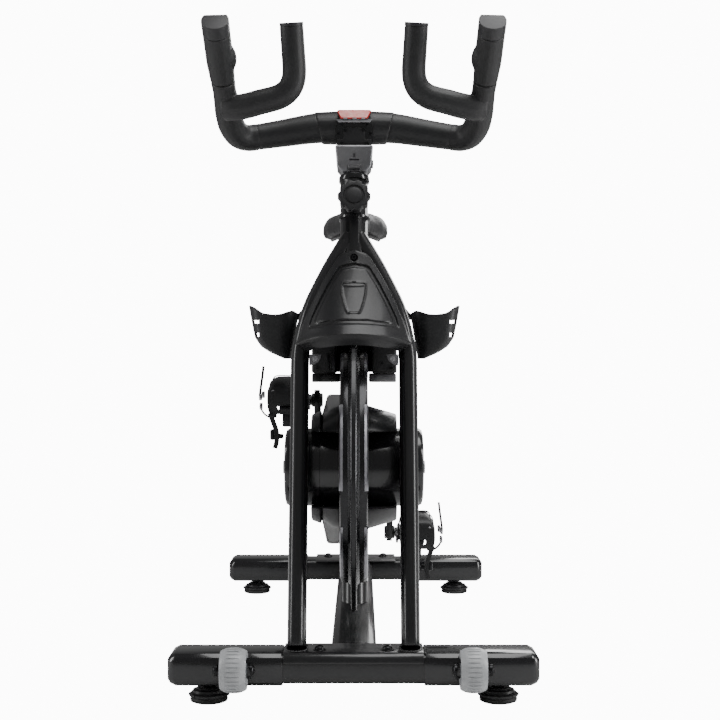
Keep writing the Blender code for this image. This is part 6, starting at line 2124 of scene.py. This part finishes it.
    def strap(self, word: str, body: str) -> None:
        """A strap over the hood: down both sides to the platform, with a buckle and a free end."""
        node = f"toe_cage_{word}"
        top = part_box(node)[1].z - self.axis_place.z
        y = self.axis_place.y - 0.030
        half_line = [(0.0350, -0.012), (0.0345, 0.004), (0.0310, top - 0.0130), (0.0270, top - 0.0065),
                     (0.0205, top + 0.0010)]
        line = [(0.1165 + x, z) for x, z in half_line] + [(0.1165, top + 0.0014)]
        line += [(0.1165 - x, z) for x, z in reversed(half_line)]
        band = self.ribbon(line, y, 0.0018)
        finished(band, f"toe_strap_{word}", body, RUBBER)
        tail = self.ribbon([(self.outer + 0.0145, 0.008), (self.outer + 0.0125, 0.024),
                            (self.outer + 0.0100, 0.042),
                            (self.outer + 0.0080, 0.060)], y, 0.0036)
        finished(tail, f"strap_tail_{word}", body, RUBBER)
        hang = self.ribbon([(self.outer - 0.0040, -0.022), (self.outer - 0.0090, -0.036),
                            (self.outer - 0.0140, -0.050),
                            (self.outer - 0.0160, -0.062), (self.outer - 0.0150, -0.074),
                            (self.outer - 0.0125, -0.083)],
                           y - 0.008, 0.0080)
        finished(hang, f"strap_guard_{word}", body, SATIN)
        link = self.ribbon([(self.outer + 0.0130, -0.014), (self.outer + 0.0060, -0.024),
                            (self.outer - 0.0030, -0.030)],
                           y, 0.0022)
        finished(link, f"strap_link_{word}", body, RUBBER)
        frames = []
        for x, z in ((self.outer + 0.0130, 0.006), (self.outer + 0.0080, 0.010),
                     (self.outer + 0.0120, -0.010),
                     (self.inner - 0.0018, 0.004), (self.inner - 0.0018, -0.010)):
            ring = self.slab((x - 0.0022, x + 0.0026), (-0.030 - self.strap_width * 0.68,
                                                        -0.030 + self.strap_width * 0.68),
                             (z - 0.0058, z + 0.0058), 0.0010)
            hole = self.slab((x - 0.01, x + 0.01), (-0.030 - self.strap_width * 0.50,
                                                    -0.030 + self.strap_width * 0.50),
                             (z - 0.0034, z + 0.0034), 0.0)
            frames.append(Workshop.cut(ring, hole))
            frames.append(self.slab((x - 0.0006, x + 0.0032),
                                    (-0.030 - self.strap_width * 0.60, -0.030 + self.strap_width * 0.60),
                                    (z - 0.0009, z + 0.0009), 0.0006))
        finished(Workshop.gather(frames), f"strap_buckles_{word}", body, BRIGHT_STEEL)

    def ribbon(self, line: Sequence[Flat], y: float, thickness: float) -> bpy.types.Object:
        """A flat strap along a line of (outward X, height above the axis).

        Args:
            line: The line.
            y: World Y of its middle.
            thickness: Its thickness.

        Returns:
            The strap.
        """
        path = smooth_path([(self.side.value * x, y, self.axis_place.z + z) for x, z in line], 6)
        loops = []
        for i, place in enumerate(path):
            ahead = (path[min(i + 1, len(path) - 1)] - path[max(i - 1, 0)]).normalized()
            out = ahead.cross(Vector((0, 1, 0))).normalized() * thickness / 2
            wide = Vector((0, self.strap_width / 2, 0))
            loops.append([place + out + wide, place - out + wide, place - out - wide, place + out - wide])
        return Workshop.soften(Workshop.loft(loops), 0.0003, 1, 50)


# ------------------------------------------------------------------------------------ brake
@dataclass
class Brake:
    """The brake's housing round the top of the flywheel, with its plates and small hardware."""

    front: float = -0.272
    back: float = -0.147

    def build(self) -> None:
        """Make the housing, the plates under it, one in painted shade and one in painted light, and its
        screws.
        """
        blocks = []
        for side in Side:
            low, high = side.span(0.0285, 0.0700)
            blocks.append(Workshop.box((low, self.front, 0.4890), (high, self.back, 0.5880), 0.004, 3))
            low, high = side.span(0.0066, 0.0300)
            blocks.append(Workshop.box((low, self.back - 0.0040, 0.4900), (high, self.back, 0.5760), 0.0008,
                                       2))
        blocks.append(Workshop.box((-0.0300, self.back - 0.0045, 0.5150), (0.0300, self.back, 0.5780), 0.0008,
                                   2))
        finished(Workshop.gather(blocks), "brake_case", "frame", SATIN, ["brake_housing"])
        # Painted shade and painted light: the plates under the housing are one part, drawn black on the right
        # side for shade and grey alloy on the left side for the light that falls on it from there.
        dark = Workshop.box((-0.0704, -0.2450, 0.4740), (-0.0245, self.back - 0.004, 0.4884), 0.002, 2)
        finished(dark, "brake_plate_right", "frame", FRAME_PAINT)
        light = Workshop.box((0.0245, -0.2450, 0.4740), (0.0697, self.back - 0.004, 0.4884), 0.002, 2)
        finished(light, "brake_plate_left", "frame", STEM_ALLOY)
        places = [(x, self.front - 0.0002, z) for x, z in ((-0.0450, 0.5060), (-0.0360, 0.5230),
                                                           (0.0460, 0.5060),
                                                           (0.0610, 0.4980), (-0.0610, 0.4980))]
        finished(SCREWS.row(SCREWS.cap(0.0032, 0.0030, 0.0016), places, (0, -1, 0)), "brake_screws", "frame",
                 DARK_STEEL)
        posts = []
        for x in (-0.0430, -0.0330):
            posts.append(Workshop.box((x - 0.0026, self.front - 0.0065, 0.4930),
                                      (x + 0.0026, self.front + 0.0010, 0.5200), 0.0010, 2))
        finished(Workshop.gather(posts), "brake_catches", "frame", DARK_STEEL)


# ------------------------------------------------------------------------------------ bottle holders
@dataclass
class Holders:
    """A moulded cup on each side, with a swept rim, two rows of slots and an arm to the main tube."""

    wall: float = 0.0028
    front: float = -0.241
    back: float = -0.141
    floor: float = 0.513
    tip: float = 0.6024
    outer_side: tuple[Flat, ...] = ((0.513, 0.1180), (0.5235, 0.1420), (0.534, 0.1580), (0.549, 0.1680),
                                    (0.574, 0.1730),
                                    (0.6024, 0.1780))
    rim: tuple[Flat, ...] = ((0.0950, 0.5895), (0.1016, 0.5935), (0.1100, 0.5915), (0.1230, 0.5875),
                             (0.1370, 0.5868),
                             (0.1520, 0.5890), (0.1640, 0.5945), (0.1740, 0.6010), (0.1780, 0.6024))

    def build(self) -> None:
        """Make both holders."""
        for side in Side:
            cup = self.cup(side)
            for z in (0.5500, 0.5720):
                for y in (self.front - 0.004, self.back - 0.034):
                    low, high = side.span(0.1590, 0.2)
                    Workshop.cut(cup, Workshop.box((low, y, z), (high, y + 0.038, z + 0.0075)))
            Workshop.soften(cup, 0.0005, 1, 45)
            finished(cup, f"holder_cup_{side.word}", "frame", SATIN, [f"bottle_holder_{side.word}"])
            finished(self.arm(side), f"holder_arm_{side.word}", "frame", FRAME_PAINT)

    @staticmethod
    def between(table: Sequence[Flat], value: float) -> float:
        """A value read from a table of (key, value) pairs in rising order.

        Args:
            table: The pairs.
            value: The key.

        Returns:
            The value, held at the ends.
        """
        if value <= table[0][0]:
            return table[0][1]
        for (a, low), (b, high) in zip(table, table[1:]):
            if value <= b:
                return low + (high - low) * (value - a) / (b - a)
        return table[-1][1]

    def cup(self, side: Side) -> bpy.types.Object:
        """The cup's wall and floor.

        Args:
            side: Which side.

        Returns:
            The cup.
        """
        rows = []
        count = 72
        levels = [k / 22 for k in range(23)]
        for share in [-1.0] + levels:
            height = self.floor + (self.tip - self.floor) * max(share, 0.0)
            inner = 0.108 - 0.013 * max(share, 0.0)
            outer = self.between(self.outer_side, height)
            shrink = 0.02 if share < 0 else 1.0
            half_x = (outer - inner) / 2 * shrink
            half_y = (self.back - self.front) / 2 * (0.88 + 0.12 * max(share, 0)) * shrink
            row = []
            for k in range(count + 1):
                t = 2 * pi * k / count
                across_share = (1 if cos(t) >= 0 else -1) * abs(cos(t)) ** 0.55
                along_share = (1 if sin(t) >= 0 else -1) * abs(sin(t)) ** 0.55
                top_x = (0.095 + 0.178) / 2 + (0.178 - 0.095) / 2 * across_share
                lift = (self.between(self.rim, top_x) - self.floor) / (self.tip - self.floor)
                row.append((side.value * ((inner + outer) / 2 + half_x * across_share),
                            (self.front + self.back) / 2 + half_y * along_share,
                            self.floor + (height - self.floor) * lift))
            rows.append(row)
        cup = Workshop.sheet_of(rows)
        Workshop.edit(cup, lambda: bpy.ops.mesh.remove_doubles(threshold=0.0002))
        Workshop.outward(cup)
        Workshop.apply(cup, "SOLIDIFY", thickness=self.wall, offset=-1.0)
        return Workshop.outward(cup)

    def arm(self, side: Side) -> bpy.types.Object:
        """The arm between the main tube and the cup.

        Args:
            side: Which side.

        Returns:
            The arm.
        """
        tube_low, tube_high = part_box("main_tube")
        middle = (self.front + self.back) / 2
        share = (middle - tube_low.y) / (tube_high.y - tube_low.y)
        height = tube_high.z - 0.022 + (tube_low.z + 0.022 - tube_high.z + 0.022) * share
        outline = [(side.value * 0.0235, height - 0.014), (side.value * 0.0965, 0.5780),
                   (side.value * 0.0965, 0.5880),
                   (side.value * 0.0235, height + 0.010)]
        return Workshop.plate(outline, Axis.Y, middle - 0.013, middle + 0.013, 0.003)


# ------------------------------------------------------------------------------------ seat
@dataclass
class Seat:
    """The saddle: a stuffed cover with drooping wings, its sewn channel, and the pan below it."""

    top: float = 0.8035
    half_widths: tuple[Flat, ...] = ((0.0, 0.0125), (0.03, 0.0175), (0.15, 0.0195), (0.30, 0.0225),
                                     (0.45, 0.0370),
                                     (0.60, 0.0570), (0.72, 0.0655), (0.84, 0.0655), (0.94, 0.0590),
                                     (1.0, 0.0440))
    section: tuple[Flat, ...] = ((0.0, 0.0), (0.35, -0.0010), (0.65, -0.0040), (0.88, -0.0110),
                                 (1.0, -0.0240),
                                 (1.0, -0.0400), (0.95, -0.0490), (0.80, -0.0470), (0.50, -0.0360),
                                 (0.0, -0.0290))
    voxel: float = 0.005
    cap: float = 0.0055
    pressure: float = 4.0
    channel_at: float = 0.66
    channel_depth: float = 0.0016

    def build(self) -> None:
        """Make the stuffed cover and the pan."""
        cover = self.shape()
        Workshop.apply(cover, "REMESH", mode="VOXEL", voxel_size=self.voxel, use_smooth_shade=True)
        self.stuff(cover)
        Workshop.subdivide(cover, 1)
        self.sew(cover)
        finished(cover, "saddle_cover", self.body(), VINYL, ["saddle"], 180)
        self.pan()

    @staticmethod
    def body() -> str:
        """The body that the saddle rides on."""
        return body_of("saddle")

    def half_width(self, share: float) -> float:
        """Half the saddle's width at a share of its length."""
        return Holders.between(self.half_widths, share)

    def shape(self) -> bpy.types.Object:
        """The saddle's form before it is stuffed."""
        low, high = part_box("saddle")
        loops = []
        for share, squash in ((0.0, 0.45), (0.012, 0.68), (0.04, 0.86), (0.10, 0.96), (0.20, 1.0),
                              (0.30, 1.0), (0.40, 1.0),
                              (0.50, 1.0), (0.60, 1.0), (0.70, 1.0), (0.80, 1.0), (0.88, 0.97), (0.95, 0.88),
                              (0.985, 0.70), (1.0, 0.45)):
            y = low.y + 0.004 + (high.y - low.y - 0.008) * share
            half = self.half_width(share)
            wing = max(0.0, min(1.0, (half - 0.020) / 0.045))
            loop = []
            for way in (1, -1):
                points = self.section if way == 1 else self.section[-2:0:-1]
                for u, drop in points:
                    deep = drop * (0.72 + 0.28 * wing) if u > 0 else drop
                    centre = self.top - 0.006 * (1 - wing) - 0.016
                    z = self.top - 0.006 * (1 - wing) + deep
                    loop.append((way * u * half * (0.8 + 0.2 * squash), y, centre + (z - centre) * squash))
            loops.append(loop)
        return Workshop.loft(loops)

    def stuff(self, cover: bpy.types.Object) -> None:
        """Blow the cover up from inside as cloth, hold every point near its start, and keep the result.

        Args:
            cover: The saddle's cover.
        """
        Workshop.only(cover)
        bpy.ops.object.modifier_add(type="CLOTH")
        cloth = cover.modifiers[-1]
        cloth.settings.use_pressure = True
        cloth.settings.uniform_pressure_force = self.pressure
        cloth.settings.effector_weights.gravity = 0
        start = [vertex.co.copy() for vertex in cover.data.vertices]
        for frame in range(1, 21):
            bpy.context.scene.frame_set(frame)
        Workshop.only(cover)
        bpy.ops.object.modifier_apply(modifier=cloth.name)
        for vertex, before in zip(cover.data.vertices, start):
            move = vertex.co - before
            if move.length > self.cap:
                vertex.co = before + move * (self.cap / move.length)
        bpy.context.scene.frame_set(1)

    def sew(self, cover: bpy.types.Object) -> None:
        """Press a sewn channel into the top on each side, where the wing meets the middle panel.

        Args:
            cover: The saddle's cover.
        """
        low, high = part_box("saddle")
        for vertex in cover.data.vertices:
            share = (vertex.co.y - low.y) / (high.y - low.y)
            away = abs(abs(vertex.co.x) - self.channel_at * self.half_width(share))
            if vertex.normal.z > 0.3 and away < 0.0040 and 0.05 < share < 0.93:
                vertex.co.z -= self.channel_depth * (1 - away / 0.0040)

    def pan(self) -> None:
        """The hard pan under the cover."""
        low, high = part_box("saddle")
        rows = []
        for k in range(15):
            share = 0.08 + 0.82 * k / 14
            half = self.half_width(share) * 0.78
            y = low.y + (high.y - low.y) * share
            wing = max(0.0, min(1.0, (self.half_width(share) - 0.020) / 0.045))
            middle_z = self.top - 0.006 * (1 - wing) - 0.0335
            rows.append([(half * u, y, middle_z - 0.0135 * abs(u) ** 1.6 * (0.6 + 0.4 * wing))
                         for u in (j / 6 - 1 for j in range(13))])
        plate = Workshop.sheet_of(rows)
        Workshop.apply(plate, "SOLIDIFY", thickness=0.0030, offset=0.0)
        Workshop.outward(plate)
        finished(plate, "saddle_pan", self.body(), SATIN)


# ------------------------------------------------------------------------------------ the bike
def write_sizes() -> None:
    """Gather the corners of the CAD box and of the visual model's box."""
    rows = [[list(corner) for corner in box] for box in (CAD_BOX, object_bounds())]


def main() -> None:
    """Build the studio and every sub-assembly in order."""
    logging.basicConfig(level=logging.INFO, format="%(name)s %(message)s")
    for assembly in ASSEMBLIES:
        LOG.info("building %s", assembly.__name__)
        assembly().build()
    write_sizes()


ASSEMBLIES = (Studio, PlainSkins, Stabilizers, Handlebar, Knobs, Fork, Drive, Brake, Holders, Seat)

if __name__ == "__main__":
    main()
